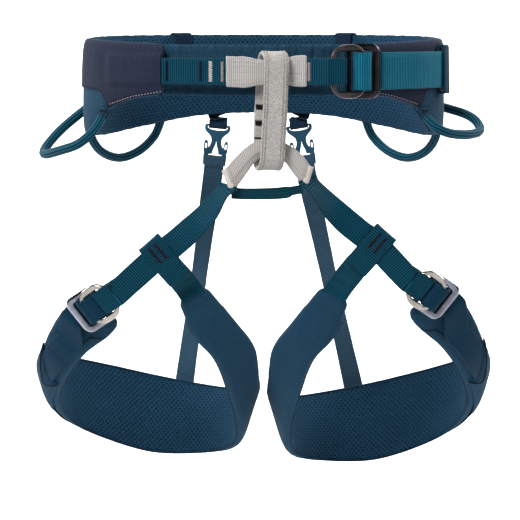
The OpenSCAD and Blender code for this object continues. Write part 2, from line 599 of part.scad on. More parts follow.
// Webbing that is folded round the riser at k and runs down into the inner end of the leg pad
branch_dir = unit([0.65, 0, -0.76]);
module leg_branch(pad, k) {
  n = [0, -1, 0];
  into = leg_webbing_in + leg_webbing_t / 2 + 0.05;
  p0 = pad_point(pad, 0, 0.5, into);
  p1 = pad_point(pad, 1, 0.5, into);
  route = smooth([k + branch_dir * 25 + n * 0.6, k + branch_dir * 17 + n * 1.4,
    k + branch_dir * 11 + n * 2.1, k + n * 2.1, k - branch_dir * 10.5 + n * 2.1,
    k - branch_dir * 13.6, k - branch_dir * 10.5 - n * 2.1, k - n * 2.1,
    k + branch_dir * 11 - n * 2.1, k + branch_dir * 18 - n * 2.4, k + branch_dir * 24 - n * 5,
    p0 * 1.7 - p1 * 0.7, p0, p1], 3);
  inner_end = [for (i = [0, 1]) unit(pad[0][i] - pad[1][i])];
  across = smooth([for (i = [0:13]) i < 11 ? [0.75, 0, 0.66] : inner_end[i > 12 ? 1 : 0]], 3);
  color(teal) strap(route, across, webbing_w, leg_webbing_t);
}
module leg_strap(pad, at) {
  low = leg_strap_in + webbing_t / 2;
  high = leg_tail_in + webbing_t / 2;
  loop = buckle_strap(23.5);
  turn = smooth(concat([pad_point(pad, 37, 0.5, low)], [for (p = loop) at_leg_buckle(at, p[0], p[1])],
    [pad_point(pad, 37, 0.5, high)]), 3);
  square = [for (i = [0:37]) unit(pad[1][i] - pad[0][i])];
  turn_across = smooth(concat([square[37]], [for (p = loop) leg_buckle_w], [square[37]]), 3);
  route = concat([for (i = [30:36]) pad_point(pad, i, 0.5, low)], turn,
    [for (i = [36, 35]) pad_point(pad, i, 0.5, high)]);
  across = concat([for (i = [30:36]) square[i]], turn_across, [square[36], square[35]]);
  color(teal) strap(route, across, webbing_w, webbing_t);
}
module leg_riser_left() { leg_riser(riser_left, leg_buckle_left); }
module leg_riser_right() { mirror([1, 0, 0]) leg_riser(riser_right, leg_buckle_right); }
module leg_branch_left() { leg_branch(pad_left, [-84, -103.5, -133]); }
module leg_branch_right() { mirror([1, 0, 0]) leg_branch(pad_right, [-90, -103.5, -124.8]); }
module leg_strap_left() { leg_strap(pad_left, leg_buckle_left); }
module leg_strap_right() { mirror([1, 0, 0]) leg_strap(pad_right, leg_buckle_right); }
module at_leg(at) { placed(at, leg_buckle_u, leg_buckle_w) children(); }
module leg_buckle_ring_left() { color(steel) at_leg(leg_buckle_left) buckle_ring(webbing_w, 28); }
module leg_buckle_ring_right() {
  color(steel) mirror([1, 0, 0]) at_leg(leg_buckle_right) buckle_ring(webbing_w, 28);
}
module leg_buckle_frame_left() { color(steel) at_leg(leg_buckle_left) buckle_frame(webbing_w, 23.5); }
module leg_buckle_frame_right() {
  color(steel) mirror([1, 0, 0]) at_leg(leg_buckle_right) buckle_frame(webbing_w, 23.5);
}

waist_lining();
waist_foam();
waist_load_webbing();
waist_shell();
waist_edge_binding();
waist_cover_left();
waist_cover_right();
buckle_guard();
tie_in_webbing();
tie_in_sleeve_upper();
belay_loop();
tie_in_sleeve_lower();
tie_in_core_lower();
leg_cross_strap();
waist_strap();
waist_buckle_ring();
waist_buckle_frame();
waist_strap_keeper();
gear_loop_front_left();
gear_loop_front_right();
gear_loop_rear_left();
gear_loop_rear_right();
gear_loop_anchors();
tool_tabs();
rear_tab_left();
rear_tab_right();
rear_clip_male_left();
rear_clip_male_right();
rear_clip_female_left();
rear_clip_female_right();
clip_prong_left_inner();
clip_prong_left_outer();
clip_prong_right_inner();
clip_prong_right_outer();
rear_elastic_left();
rear_elastic_right();
leg_lining_left();
leg_lining_right();
leg_foam_left();
leg_foam_right();
leg_shell_left();
leg_shell_right();
leg_edge_binding_left();
leg_edge_binding_right();
leg_pocket_left();
leg_pocket_right();
leg_load_webbing_left();
leg_load_webbing_right();
leg_riser_left();
leg_riser_right();
leg_branch_left();
leg_branch_right();
leg_strap_left();
leg_strap_right();
leg_buckle_ring_left();
leg_buckle_ring_right();
leg_buckle_frame_left();
leg_buckle_frame_right();
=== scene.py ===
"""Looks of the climbing harness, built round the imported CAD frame. Lengths in this script are in
millimetres, as in part.scad, and become metres when a mesh is made."""
import math

import bpy
import numpy as np
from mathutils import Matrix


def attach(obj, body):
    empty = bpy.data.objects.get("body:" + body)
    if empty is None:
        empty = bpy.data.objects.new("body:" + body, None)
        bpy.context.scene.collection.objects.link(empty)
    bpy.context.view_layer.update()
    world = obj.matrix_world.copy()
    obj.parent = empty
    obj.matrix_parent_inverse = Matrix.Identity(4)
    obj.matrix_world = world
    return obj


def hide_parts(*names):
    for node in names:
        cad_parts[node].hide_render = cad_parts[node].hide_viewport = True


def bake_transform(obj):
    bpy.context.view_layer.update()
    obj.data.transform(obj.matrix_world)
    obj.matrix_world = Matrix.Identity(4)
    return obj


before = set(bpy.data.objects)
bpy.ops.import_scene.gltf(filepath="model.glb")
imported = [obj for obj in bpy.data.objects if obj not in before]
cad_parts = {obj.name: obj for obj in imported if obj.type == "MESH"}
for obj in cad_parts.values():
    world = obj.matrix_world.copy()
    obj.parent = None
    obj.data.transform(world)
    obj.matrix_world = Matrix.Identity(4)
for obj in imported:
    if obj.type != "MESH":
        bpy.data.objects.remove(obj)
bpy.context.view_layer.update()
MM = 0.001
scene = bpy.context.scene
scene.view_settings.view_transform = "Standard"


# ---------- camera ----------
def look_at(obj, eye, target):
    direction = np.array(target) - np.array(eye)
    yaw = math.atan2(-direction[0], direction[1])
    flat = math.hypot(direction[0], direction[1])
    obj.location = eye
    obj.rotation_euler = (math.pi / 2 + math.atan2(direction[2], flat), 0, yaw)


TARGET = (-0.003, 0.0, -0.148)
CAMERA_DISTANCE = 2.0
CAMERA_ELEVATION = math.radians(6)
camera = bpy.data.objects.new("camera", bpy.data.cameras.new("camera"))
scene.collection.objects.link(camera)
look_at(camera, (TARGET[0], -CAMERA_DISTANCE * math.cos(CAMERA_ELEVATION),
                 TARGET[2] + CAMERA_DISTANCE * math.sin(CAMERA_ELEVATION)), TARGET)
camera.data.sensor_width = 36
camera.data.lens = 162.9
camera.data.clip_start = 0.05
scene.camera = camera


# ---------- vectors and curves ----------
def arr(*p):
    return np.array(p, float)


def unit(v):
    v = np.asarray(v, float)
    return v / np.maximum(np.linalg.norm(v, axis=-1, keepdims=True), 1e-9)


def smooth(points, steps):
    """Catmull-Rom curve through the points, with steps stretches between neighbours."""
    p = np.asarray(points, float)
    if p.ndim == 1:
        return smooth(p[:, None], steps)[:, 0]
    q = np.vstack([2 * p[0] - p[1], p, 2 * p[-1] - p[-2]])
    t = (np.arange(steps) / steps)[:, None]
    out = []
    for i in range(len(p) - 1):
        a, b, c, d = q[i:i + 4]
        out.append((2 * b + (c - a) * t + (2 * a - 5 * b + 4 * c - d) * t ** 2
                    + (3 * b - a - 3 * c + d) * t ** 3) / 2)
    return np.vstack(out + [p[-1:]])


def run_length(path):
    return np.concatenate([[0], np.cumsum(np.linalg.norm(np.diff(path, axis=0), axis=1))])


def at_lengths(path, s, where):
    """Values along a path, whose own lengths are s, at other lengths."""
    return np.stack([np.interp(where, s, path[:, k]) for k in range(path.shape[1])], axis=1)


def ease(x):
    x = np.clip(x, 0, 1)
    return x * x * (3 - 2 * x)


def waves(x, seed, longest, count=5):
    """Irregular smooth ripple of unit size along x, the same each run."""
    rng = np.random.default_rng(seed)
    total = np.zeros_like(np.asarray(x, float))
    for k in range(count):
        length = longest / (1.0 + 0.55 * k)
        total += np.sin(2 * math.pi * (np.asarray(x) / length + rng.random())) / (1 + 0.5 * k)
    return total / 2.0


def flip(points, mirror):
    points = np.array(points, float)
    if mirror:
        points[..., 0] *= -1
    return points


# ---------- meshes ----------
def make_object(name, verts, faces, uvs, material, body, nodes, slot, smooth_angle=40):
    """Mesh object in metres that rides on a body and replaces CAD nodes. uvs holds one pair per corner."""
    mesh = bpy.data.meshes.new(name)
    mesh.from_pydata((np.asarray(verts) * MM).tolist(), [], [list(map(int, f)) for f in faces])
    if uvs is not None:
        layer = mesh.uv_layers.new(name="cloth")
        layer.data.foreach_set("uv", np.asarray(uvs, np.float32).ravel())
    mesh.materials.append(material)
    mesh.shade_smooth()
    mesh.set_sharp_from_angle(angle=math.radians(smooth_angle))
    mesh.validate()
    obj = bpy.data.objects.new(name, mesh)
    scene.collection.objects.link(obj)
    if body:
        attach(obj, body)
    if nodes:
        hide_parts(*nodes)
    return obj


def uv_grid(u, v):
    return np.stack(np.broadcast_arrays(u, v), axis=2)


def grid(points, uv, wrap_rows=False, wrap_cols=False, cap=False, mirror=False, turn=False):
    """Vertices, faces and corner UVs of a grid of points. Where it wraps, uv has one more row or column.
    mirror reflects it in x, and turn makes its faces look the other way."""
    rows, cols = points.shape[:2]
    verts = points.reshape(-1, 3)
    faces, corners = [], []
    for i in range(rows if wrap_rows else rows - 1):
        for j in range(cols if wrap_cols else cols - 1):
            i1, j1 = (i + 1) % rows, (j + 1) % cols
            faces.append((i * cols + j, i * cols + j1, i1 * cols + j1, i1 * cols + j))
            corners.append((uv[i, j], uv[i, j + 1], uv[i + 1, j + 1], uv[i + 1, j]))
    for row in (0, rows - 1) if cap else ():
        centre, middle = len(verts), uv[row, :cols].mean(axis=0)
        verts = np.vstack([verts, points[row].mean(axis=0)])
        for j in range(cols):
            pair = [(row * cols + j, uv[row, j]), (row * cols + (j + 1) % cols, uv[row, j + 1])]
            (a, a_uv), (b, b_uv) = pair if row else pair[::-1]
            faces.append((centre, a, b))
            corners.append((middle, a_uv, b_uv))
    if mirror != turn:
        faces = [face[::-1] for face in faces]
        corners = [corner[::-1] for corner in corners]
    if mirror:
        verts = verts * arr(-1, 1, 1)
    return verts, faces, [place for corner in corners for place in corner]


def shell(outer, under, u, v, **sides):
    """Closed sheet with a real thickness, between an outer and an under grid of points."""
    uv = uv_grid(u, v)
    points = np.concatenate([outer, under[:, ::-1]], axis=1)
    uv = np.concatenate([uv, uv[:, ::-1], uv[:, :1]], axis=1)
    return grid(points, uv, wrap_cols=True, cap=True, **sides)


class Batch:
    """Many small closed shapes joined into one piece, such as a line of stitches."""

    def __init__(self):
        self.verts, self.faces, self.uvs, self.count = [], [], [], 0

    def add(self, verts, faces, corners):
        self.verts.append(verts)
        self.faces.extend(tuple(i + self.count for i in f) for f in faces)
        self.uvs.extend(corners)
        self.count += len(verts)

    def build(self, name, material, body, slot, nodes=()):
        return make_object(name, np.vstack(self.verts), self.faces, self.uvs, material, body, nodes, slot)


THREAD_SIDES = 6


def thread(batch, a, b, normal, r, rise=0.5, segments=4, mirror=False):
    """One stitch: a short thread from a to b that dips into the cloth at both ends."""
    a, b, normal = np.asarray(a, float), np.asarray(b, float), unit(normal)
    along = unit(b - a)
    side = unit(np.cross(normal, along))
    rings = []
    for k in range(segments + 1):
        t = k / segments
        bow = math.sin(math.pi * t)
        centre = a + (b - a) * t + normal * (bow * rise * r * 2 - r * 0.4)
        size = r * (0.35 + 0.65 * bow ** 0.5)
        angles = 2 * math.pi * np.arange(THREAD_SIDES) / THREAD_SIDES
        rings.append(centre + size * (np.outer(np.cos(angles), side) + np.outer(np.sin(angles), normal)))
    uv = np.zeros((segments + 1, THREAD_SIDES + 1, 2))
    batch.add(*grid(np.array(rings), uv, wrap_cols=True, cap=True, mirror=mirror))


def stitch_line(batch, path, normals, pitch=3.0, length=2.0, r=0.28, mirror=False):
    """A line of stitches along a path; normals point out of the cloth."""
    s = run_length(path)
    normals = np.broadcast_to(np.asarray(normals, float), path.shape)
    starts = np.arange(0.3, max(s[-1] - length, 0.31), pitch)
    a, b = at_lengths(path, s, starts), at_lengths(path, s, starts + length)
    n = at_lengths(np.array(normals), s, starts + length / 2)
    for p, q, m in zip(a, b, n):
        thread(batch, p, q, m, r, mirror=mirror)


def bartack(batch, centre, across, along, normal, width, depth, r=0.42, pitch=0.7, mirror=False):
    """A dense block of zigzag stitching, width across the webbing and depth along it."""
    across, along = unit(across), unit(along)
    count = max(int(width / pitch), 2)
    reach = along * depth / 2
    for k in range(count + 1):
        at = np.asarray(centre, float) + across * (k / count - 0.5) * width
        lean = across * pitch * 0.5 * (1 if k % 2 else -1)
        thread(batch, at - reach - lean, at + reach + lean, normal, r, 0.4, 3, mirror)


# ---------- flat webbing ----------
LONG_RIB_DEPTH = 0.3


def strap_section(half_w, half_t, columns):
    """Closed section of webbing: offsets across and out, and how strongly ribs show, column by column."""
    flat = np.linspace(-1, 1, columns)
    turn = np.radians([60, 25, 0, -25, -60])
    a = np.concatenate([flat * (half_w - half_t), half_w - half_t + half_t * np.cos(turn),
                        flat[::-1] * (half_w - half_t), -(half_w - half_t) - half_t * np.cos(turn)])
    b = np.concatenate([np.full(columns, half_t), half_t * np.sin(turn),
                        np.full(columns, -half_t), -half_t * np.sin(turn)])
    ribs = np.where(np.abs(flat) < 0.93, 1.0, 0.15)
    show = np.concatenate([ribs, np.zeros(5), ribs[::-1], np.zeros(5)])
    return a, b, show


def strap_frames(route, across, steps, step, closed=False):
    """Even centre points, their lengths, and unit directions along, across and out of the webbing."""
    path = smooth(route, steps)
    wide = smooth(across, steps) if np.ndim(across) == 2 else np.broadcast_to(across, path.shape)
    s = run_length(path)
    count = max(int(round(s[-1] / step)), 4)
    where = np.linspace(0, s[-1], count + 1)
    c, w = at_lengths(path, s, where), at_lengths(np.array(wide), s, where)
    t = np.gradient(c, axis=0)
    if closed:
        t[0] = t[-1] = c[1] - c[-2]
    t = unit(t)
    w = unit(w - t * np.sum(w * t, axis=1, keepdims=True))
    return c, where, t, w, np.cross(t, w)


def strap(name, route, across, width, thick, material, body, nodes, slot, pitch=1.95, rib=0.2, steps=8,
          closed=False, columns=7, step=None, long_ribs=0, mirror=False, drift=0.0, seed=1):
    """Woven strap with raised ribs across it, or long_ribs along it. Returns the piece and its frames."""
    frames = strap_frames(route, across, steps, step or (pitch / 4 if rib else 1.5), closed)
    c, where, _, w, n = frames
    if np.ndim(width):
        width = np.interp(where, run_length(smooth(route, steps)), smooth(width, steps))
    widths = width * (1 + 0.008 * waves(where, seed, 40))
    half = widths.mean() / 2
    a, b, show = strap_section(half, thick / 2, columns)
    phase = where / pitch
    if closed:
        phase = where * round(where[-1] / pitch) / where[-1]
    ridge = (0.5 - 0.5 * np.cos(2 * math.pi * phase)) if rib else np.zeros(len(c))
    height = b + np.sign(b) * show * (ridge[:, None] - 1) * rib
    if long_ribs:
        grooves = 0.5 - 0.5 * np.cos(2 * math.pi * (a / (2 * half) + 0.5) * long_ribs)
        height = height + np.sign(b) * show * (grooves - 1) * LONG_RIB_DEPTH
    height = height + drift * waves(where, seed + 7, 55)[:, None]
    points = (c[:, None, :] + w[:, None, :] * (a * (widths / (2 * half))[:, None])[:, :, None]
              + n[:, None, :] * height[:, :, None])
    uv = uv_grid(np.append(a, a[0]), (phase * pitch)[:, None])
    if closed:
        points = points[:-1]
    cloth = grid(points, uv, wrap_rows=closed, wrap_cols=True, cap=not closed, mirror=mirror)
    return make_object(name, *cloth, material, body, nodes, slot, 60), frames


def tack(batch, frames, at, width, depth, thick, mirror=False):
    """A bartack across the outer face of a strap, a given length along it."""
    c, where, t, w, n = frames
    k = int(np.argmin(np.abs(where - at)))
    bartack(batch, c[k] + n[k] * thick / 2, w[k], t[k], n[k], width, depth, mirror=mirror)


# ---------- materials ----------
def rgb(r, g, b):
    return (r, g, b, 1.0)


WHITE = rgb(1, 1, 1)
CLOTH_SPECULAR = 0.07


class Shader:
    """Small helper that adds nodes to one material."""

    def __init__(self, name, rough=0.7, metal=0.0):
        self.mat = bpy.data.materials.new(name)
        self.mat.use_nodes = True
        self.tree = self.mat.node_tree
        self.bsdf = self.tree.nodes["Principled BSDF"]
        self.bsdf.inputs["Roughness"].default_value = rough
        self.bsdf.inputs["Metallic"].default_value = metal

    def node(self, kind, inputs=()):
        n = self.tree.nodes.new(kind)
        for key, value in dict(inputs).items():
            self.put(n, key, value)
        return n

    def put(self, n, key, value):
        if isinstance(value, bpy.types.NodeSocket):
            self.tree.links.new(value, n.inputs[key])
        else:
            n.inputs[key].default_value = value

    def math(self, op, *values):
        n = self.node("ShaderNodeMath", enumerate(values))
        n.operation = op
        return n.outputs[0]

    def uv(self):
        n = self.node("ShaderNodeUVMap")
        n.uv_map = "cloth"
        split = self.node("ShaderNodeSeparateXYZ", {"Vector": n.outputs["UV"]})
        return split.outputs["X"], split.outputs["Y"]

    def noise(self, scale, detail=3.0, rough=0.55, stretch=None):
        place = self.node("ShaderNodeTexCoord").outputs["Object"]
        if stretch:
            n = self.node("ShaderNodeVectorMath", {0: place, 1: stretch})
            n.operation = "MULTIPLY"
            place = n.outputs[0]
        inputs = {"Vector": place, "Scale": scale, "Detail": detail, "Roughness": rough}
        return self.node("ShaderNodeTexNoise", inputs).outputs["Fac"]

    def ramp(self, value, *stops):
        n = self.node("ShaderNodeValToRGB", {"Fac": value})
        elements = n.color_ramp.elements
        while len(elements) < len(stops):
            elements.new(0.5)
        for element, (at, colour) in zip(elements, stops):
            element.position = at
            element.color = colour
        return n.outputs["Color"]

    def mix(self, factor, a, b):
        n = self.node("ShaderNodeMix")
        n.data_type = "RGBA"
        for key, value in ((0, factor), (6, a), (7, b)):
            self.put(n, key, value)
        return n.outputs[2]

    def spread(self, value, **ends):
        """The value mapped from one range to another, such as to_min and to_max."""
        inputs = {key.replace("_", " ").title(): end for key, end in ends.items()}
        return self.node("ShaderNodeMapRange", {"Value": value, **inputs}).outputs["Result"]

    def bump(self, height, distance, strength):
        n = self.node("ShaderNodeBump", {"Height": height, "Distance": distance, "Strength": strength})
        return n.outputs["Normal"]

    def finish(self, colour, normal=None, rough=None, sheen=0.0, tint=WHITE, specular=CLOTH_SPECULAR):
        for key, value in (("Base Color", colour), ("Normal", normal), ("Roughness", rough)):
            if value is not None:
                self.put(self.bsdf, key, value)
        self.bsdf.inputs["Sheen Weight"].default_value = 0.05 * sheen
        self.bsdf.inputs["Sheen Roughness"].default_value = 0.45
        self.bsdf.inputs["Sheen Tint"].default_value = tint
        self.bsdf.inputs["Specular IOR Level"].default_value = specular
        return self.mat


def wave01(s, value, pitch):
    """0 in the grooves and 1 on the ribs of a regular pattern."""
    turned = s.math("MULTIPLY_ADD", value, 2 * math.pi / pitch, 0.0)
    return s.math("MULTIPLY_ADD", s.math("COSINE", turned), -0.5, 0.5)


def brighter(colour, times):
    return tuple(min(times * x, 1) for x in colour[:3]) + (1,)


def webbing_material(name, crest, groove, edge, pitch, yarn=0.55, rough=0.62, half_width=10.5,
                     yarn_show=0.22):
    """Ribbed webbing: painted light on the crests and painted shade in the grooves, yarns along each rib and a
    denser edge.
    """
    s = Shader(name, rough)
    u, v = s.uv()
    rib = wave01(s, v, pitch)
    yarns = wave01(s, u, yarn)
    blotch = s.noise(90, 2.0)
    fuzz = s.noise(900, 2.0, 0.7)
    # painted highlight on the rib crests and painted shade in the rib grooves, in step with the raised ribs
    colour = s.ramp(rib, (0.0, groove), (0.42, groove), (0.72, crest), (1.0, crest))
    colour = s.mix(s.math("MULTIPLY", yarns, yarn_show), colour, brighter(crest, 0.3))
    colour = s.mix(s.math("MULTIPLY", blotch, 0.35), colour, groove)
    colour = s.mix(s.math("MULTIPLY", fuzz, 0.25), colour, brighter(crest, 1.6))
    side = s.math("GREATER_THAN", s.math("ABSOLUTE", u), half_width - 0.75)
    colour = s.mix(side, colour, edge)
    height = s.math("MULTIPLY_ADD", yarns, 0.35, s.math("MULTIPLY", fuzz, 0.5))
    height = s.math("ADD", height, s.math("MULTIPLY", rib, 0.8))
    return s.finish(colour, s.bump(height, 0.00022, 0.8), sheen=0.15, tint=rgb(0.55, 0.8, 0.9))


def cloth_material(name, base, dark, light, weave=0.5, twill=False, tint=rgb(0.6, 0.75, 0.95), mottle=0.5,
                   bump=0.00012, weave_show=0.25):
    """Plain or twill fabric with a fine weave and a heathered colour."""
    s = Shader(name, 0.85)
    u, v = s.uv()
    if twill:
        threads = wave01(s, s.math("ADD", u, v), weave)
    else:
        threads = s.math("MULTIPLY", wave01(s, u, weave), wave01(s, v, weave))
    heather = s.noise(1100, 3.0, 0.7)
    colour = s.ramp(heather, (0.30, dark), (0.5, base), (0.70, light))
    colour = s.mix(s.math("MULTIPLY", s.noise(28), mottle), colour, dark)
    colour = s.mix(s.math("MULTIPLY", threads, weave_show), colour, light)
    height = s.math("ADD", threads, s.math("MULTIPLY", heather, 0.6))
    return s.finish(colour, s.bump(height, bump, 0.7), sheen=0.35, tint=tint)


HOLE_PITCH_ALONG, HOLE_PITCH_ACROSS, HOLE_SIZE = 4.2, 4.8, 0.62


def mesh_material(name, base, dark, light, hole):
    """Knitted lining with two interleaved grids of holes, which are painted near black as painted shade inside
    them.
    """
    s = Shader(name, 0.88)
    u, v = s.uv()
    heather = s.noise(500, 3.0, 0.7)
    distances = []
    for shift in (0.0, 0.5):
        squares = []
        for value, pitch in ((v, HOLE_PITCH_ALONG), (u, HOLE_PITCH_ACROSS)):
            cell = s.math("FRACT", s.math("ADD", s.math("DIVIDE", value, pitch), shift))
            offset = s.math("MULTIPLY", s.math("SUBTRACT", cell, 0.5), pitch)
            squares.append(s.math("MULTIPLY", offset, offset))
        distances.append(s.math("SQRT", s.math("ADD", *squares)))
    wobble = s.math("MULTIPLY_ADD", heather, 0.3, -0.15)
    solid = s.spread(s.math("ADD", s.math("MINIMUM", *distances), wobble),
                     from_min=HOLE_SIZE * 0.55, from_max=HOLE_SIZE * 1.5)
    knit = s.math("MULTIPLY", *(wave01(s, s.math(lean, u, v), 0.85) for lean in ("ADD", "SUBTRACT")))
    colour = s.ramp(heather, (0.3, dark), (0.5, base), (0.72, light))
    colour = s.mix(s.math("MULTIPLY", knit, 0.35), colour, light)
    colour = s.mix(s.math("MULTIPLY", s.noise(25, 2.0), 0.4), colour, dark)
    # painted shade: the holes take the near-black hole colour
    colour = s.mix(solid, hole, colour)
    height = s.math("ADD", s.math("MULTIPLY", solid, 3.0), s.math("MULTIPLY", knit, 0.5))
    return s.finish(colour, s.bump(height, 0.00022, 0.8), sheen=0.3, tint=rgb(0.5, 0.75, 0.95))


def metal_material(name, base, dark, rough):
    s = Shader(name, rough, 1.0)
    grain = s.noise(260, 4.0, 0.7, stretch=(1.0, 1.0, 9.0))
    colour = s.ramp(s.noise(60), (0.35, dark), (0.6, base))
    varied = s.spread(grain, to_min=rough - 0.04, to_max=rough + 0.04)
    return s.finish(colour, s.bump(grain, 0.00001, 0.4), varied, specular=0.5)


def plastic_material(name, base, dark):
    s = Shader(name)
    grain = s.noise(700)
    colour = s.ramp(s.noise(40, 2.0), (0.3, dark), (0.65, base))
    varied = s.spread(grain, to_min=0.3, to_max=0.5)
    return s.finish(colour, s.bump(grain, 0.00004, 0.5), varied, specular=0.5)


def braid_material(name, base, dark, light, around):
    """Braided cover of a cord that measures around, with its strands mostly along it."""
    s = Shader(name, 0.6)
    u, v = s.uv()
    lengthwise = wave01(s, u, around / 9)
    twist = wave01(s, s.math("MULTIPLY_ADD", v, 1.6, u), 1.3)
    strands = s.math("MULTIPLY_ADD", twist, 0.25, s.math("MULTIPLY", lengthwise, 0.75))
    heather = s.noise(500, 3.0, 0.7)
    colour = s.ramp(strands, (0.15, dark), (0.55, base), (1.0, light))
    colour = s.mix(s.math("MULTIPLY", heather, 0.4), colour, dark)
    height = s.math("ADD", strands, s.math("MULTIPLY", heather, 0.4))
    return s.finish(colour, s.bump(height, 0.00035, 0.8), sheen=0.2, tint=rgb(0.5, 0.8, 0.9))


def thread_material(name, base, dark):
    s = Shader(name)
    return s.finish(s.ramp(s.noise(1200, 2.0), (0.35, dark), (0.65, base)), sheen=0.2)


M = {
    # in the webbing entries the first colour is the crest with painted light and the second the groove with
    # painted shade
    "webbing": webbing_material("webbing_teal", rgb(0.001, 0.062, 0.102), rgb(0.0002, 0.003, 0.010),
                                rgb(0.003, 0.028, 0.045), 1.95),
    "waist_web": webbing_material("webbing_waist", rgb(0.006, 0.170, 0.260), rgb(0.0005, 0.014, 0.032),
                                  rgb(0.006, 0.080, 0.120), 1.8, half_width=15),
    "strap_web": webbing_material("webbing_strap", rgb(0.002, 0.034, 0.068), rgb(0.001, 0.014, 0.034),
                                  rgb(0.003, 0.030, 0.055), 1.1, yarn=0.5),
    "cross_web": webbing_material("webbing_cross", rgb(0.002, 0.055, 0.080), rgb(0.001, 0.012, 0.024),
                                  rgb(0.001, 0.016, 0.028), 1.0, yarn=2.3, yarn_show=0.9),
    "pad": cloth_material("pad_fabric", rgb(0.010, 0.040, 0.075), rgb(0.006, 0.024, 0.048),
                          rgb(0.016, 0.058, 0.100)),
    "guard": cloth_material("guard_fabric", rgb(0.012, 0.044, 0.078), rgb(0.005, 0.020, 0.040),
                            rgb(0.024, 0.072, 0.115)),
    "cover": cloth_material("cover_fabric", rgb(0.013, 0.018, 0.036), rgb(0.008, 0.010, 0.021),
                            rgb(0.024, 0.030, 0.054), twill=True, weave=0.7, tint=rgb(0.7, 0.7, 0.9),
                            mottle=0.3),
    "binding": cloth_material("binding_fabric", rgb(0.005, 0.022, 0.042), rgb(0.002, 0.009, 0.020),
                              rgb(0.018, 0.058, 0.095), weave=0.8),
    # the last colour is painted shade inside the lining's holes
    "mesh": mesh_material("lining_mesh", rgb(0.009, 0.040, 0.076), rgb(0.006, 0.029, 0.057),
                          rgb(0.013, 0.052, 0.096), rgb(0.0003, 0.001, 0.004)),
    "elastic": cloth_material("elastic_fabric", rgb(0.022, 0.056, 0.092), rgb(0.010, 0.026, 0.050),
                              rgb(0.042, 0.090, 0.138), twill=True, weave=1.1, weave_show=0.5, bump=0.0002),
    "tab": cloth_material("tab_fabric", rgb(0.006, 0.018, 0.038), rgb(0.002, 0.007, 0.017),
                          rgb(0.016, 0.04, 0.07), weave=0.9),
    "keeper": cloth_material("keeper_fabric", rgb(0.006, 0.030, 0.055), rgb(0.002, 0.010, 0.022),
                             rgb(0.016, 0.06, 0.095), weave=0.9),
    "tie": webbing_material("loop_fabric", rgb(0.50, 0.48, 0.465), rgb(0.20, 0.19, 0.18),
                            rgb(0.40, 0.38, 0.365), 1.5, yarn=0.8, rough=0.8, half_width=40),
    "belay": cloth_material("belay_fabric", rgb(0.33, 0.315, 0.30), rgb(0.15, 0.14, 0.13),
                            rgb(0.50, 0.48, 0.46), twill=True, weave=1.3, tint=WHITE, mottle=0.15, bump=0.0002),
    "lip": cloth_material("lip_fabric", rgb(0.56, 0.51, 0.47), rgb(0.40, 0.355, 0.32), rgb(0.68, 0.64, 0.60),
                          tint=WHITE, mottle=0.25),
    "cord": braid_material("loop_cover", rgb(0.003, 0.055, 0.090), rgb(0.0005, 0.007, 0.018),
                           rgb(0.006, 0.120, 0.185), 2 * math.pi * 4),
    "dark_metal": metal_material("anodised_dark", rgb(0.030, 0.027, 0.032), rgb(0.012, 0.011, 0.014), 0.32),
    "grey_metal": metal_material("anodised_grey", rgb(0.050, 0.044, 0.046), rgb(0.022, 0.020, 0.021), 0.28),
    "light_metal": metal_material("polished_light", rgb(0.42, 0.39, 0.36), rgb(0.26, 0.24, 0.23), 0.20),
    "gun_metal": metal_material("polished_frame", rgb(0.24, 0.25, 0.30), rgb(0.15, 0.155, 0.19), 0.24),
    "clip": plastic_material("clip_plastic", rgb(0.005, 0.055, 0.100), rgb(0.003, 0.034, 0.068)),
    "purple_thread": thread_material("thread_purple", rgb(0.022, 0.009, 0.020), rgb(0.007, 0.003, 0.008)),
    "pale_thread": thread_material("thread_pale", rgb(0.50, 0.47, 0.45), rgb(0.30, 0.27, 0.26)),
    "pink_thread": thread_material("thread_pinkish", rgb(0.34, 0.27, 0.25), rgb(0.20, 0.15, 0.14)),
    "dark_thread": thread_material("thread_dark", rgb(0.004, 0.006, 0.014), rgb(0.002, 0.003, 0.006)),
    "grey_thread": thread_material("thread_grey", rgb(0.24, 0.225, 0.21), rgb(0.12, 0.11, 0.105)),
    "black_thread": thread_material("thread_black", rgb(0.010, 0.009, 0.009), rgb(0.004, 0.003, 0.003)),
}


# ---------- settling of padded fabric ----------
# steps in how firmly the seams hold, length of the run, and the furthest that a point may go
SEAM_LEVELS = 10
FRAMES = 12
FURTHEST = 1.2


def vertex_places(mesh):
    places = np.zeros(len(mesh.vertices) * 3)
    mesh.vertices.foreach_get("co", places)
    return places.reshape(-1, 3)


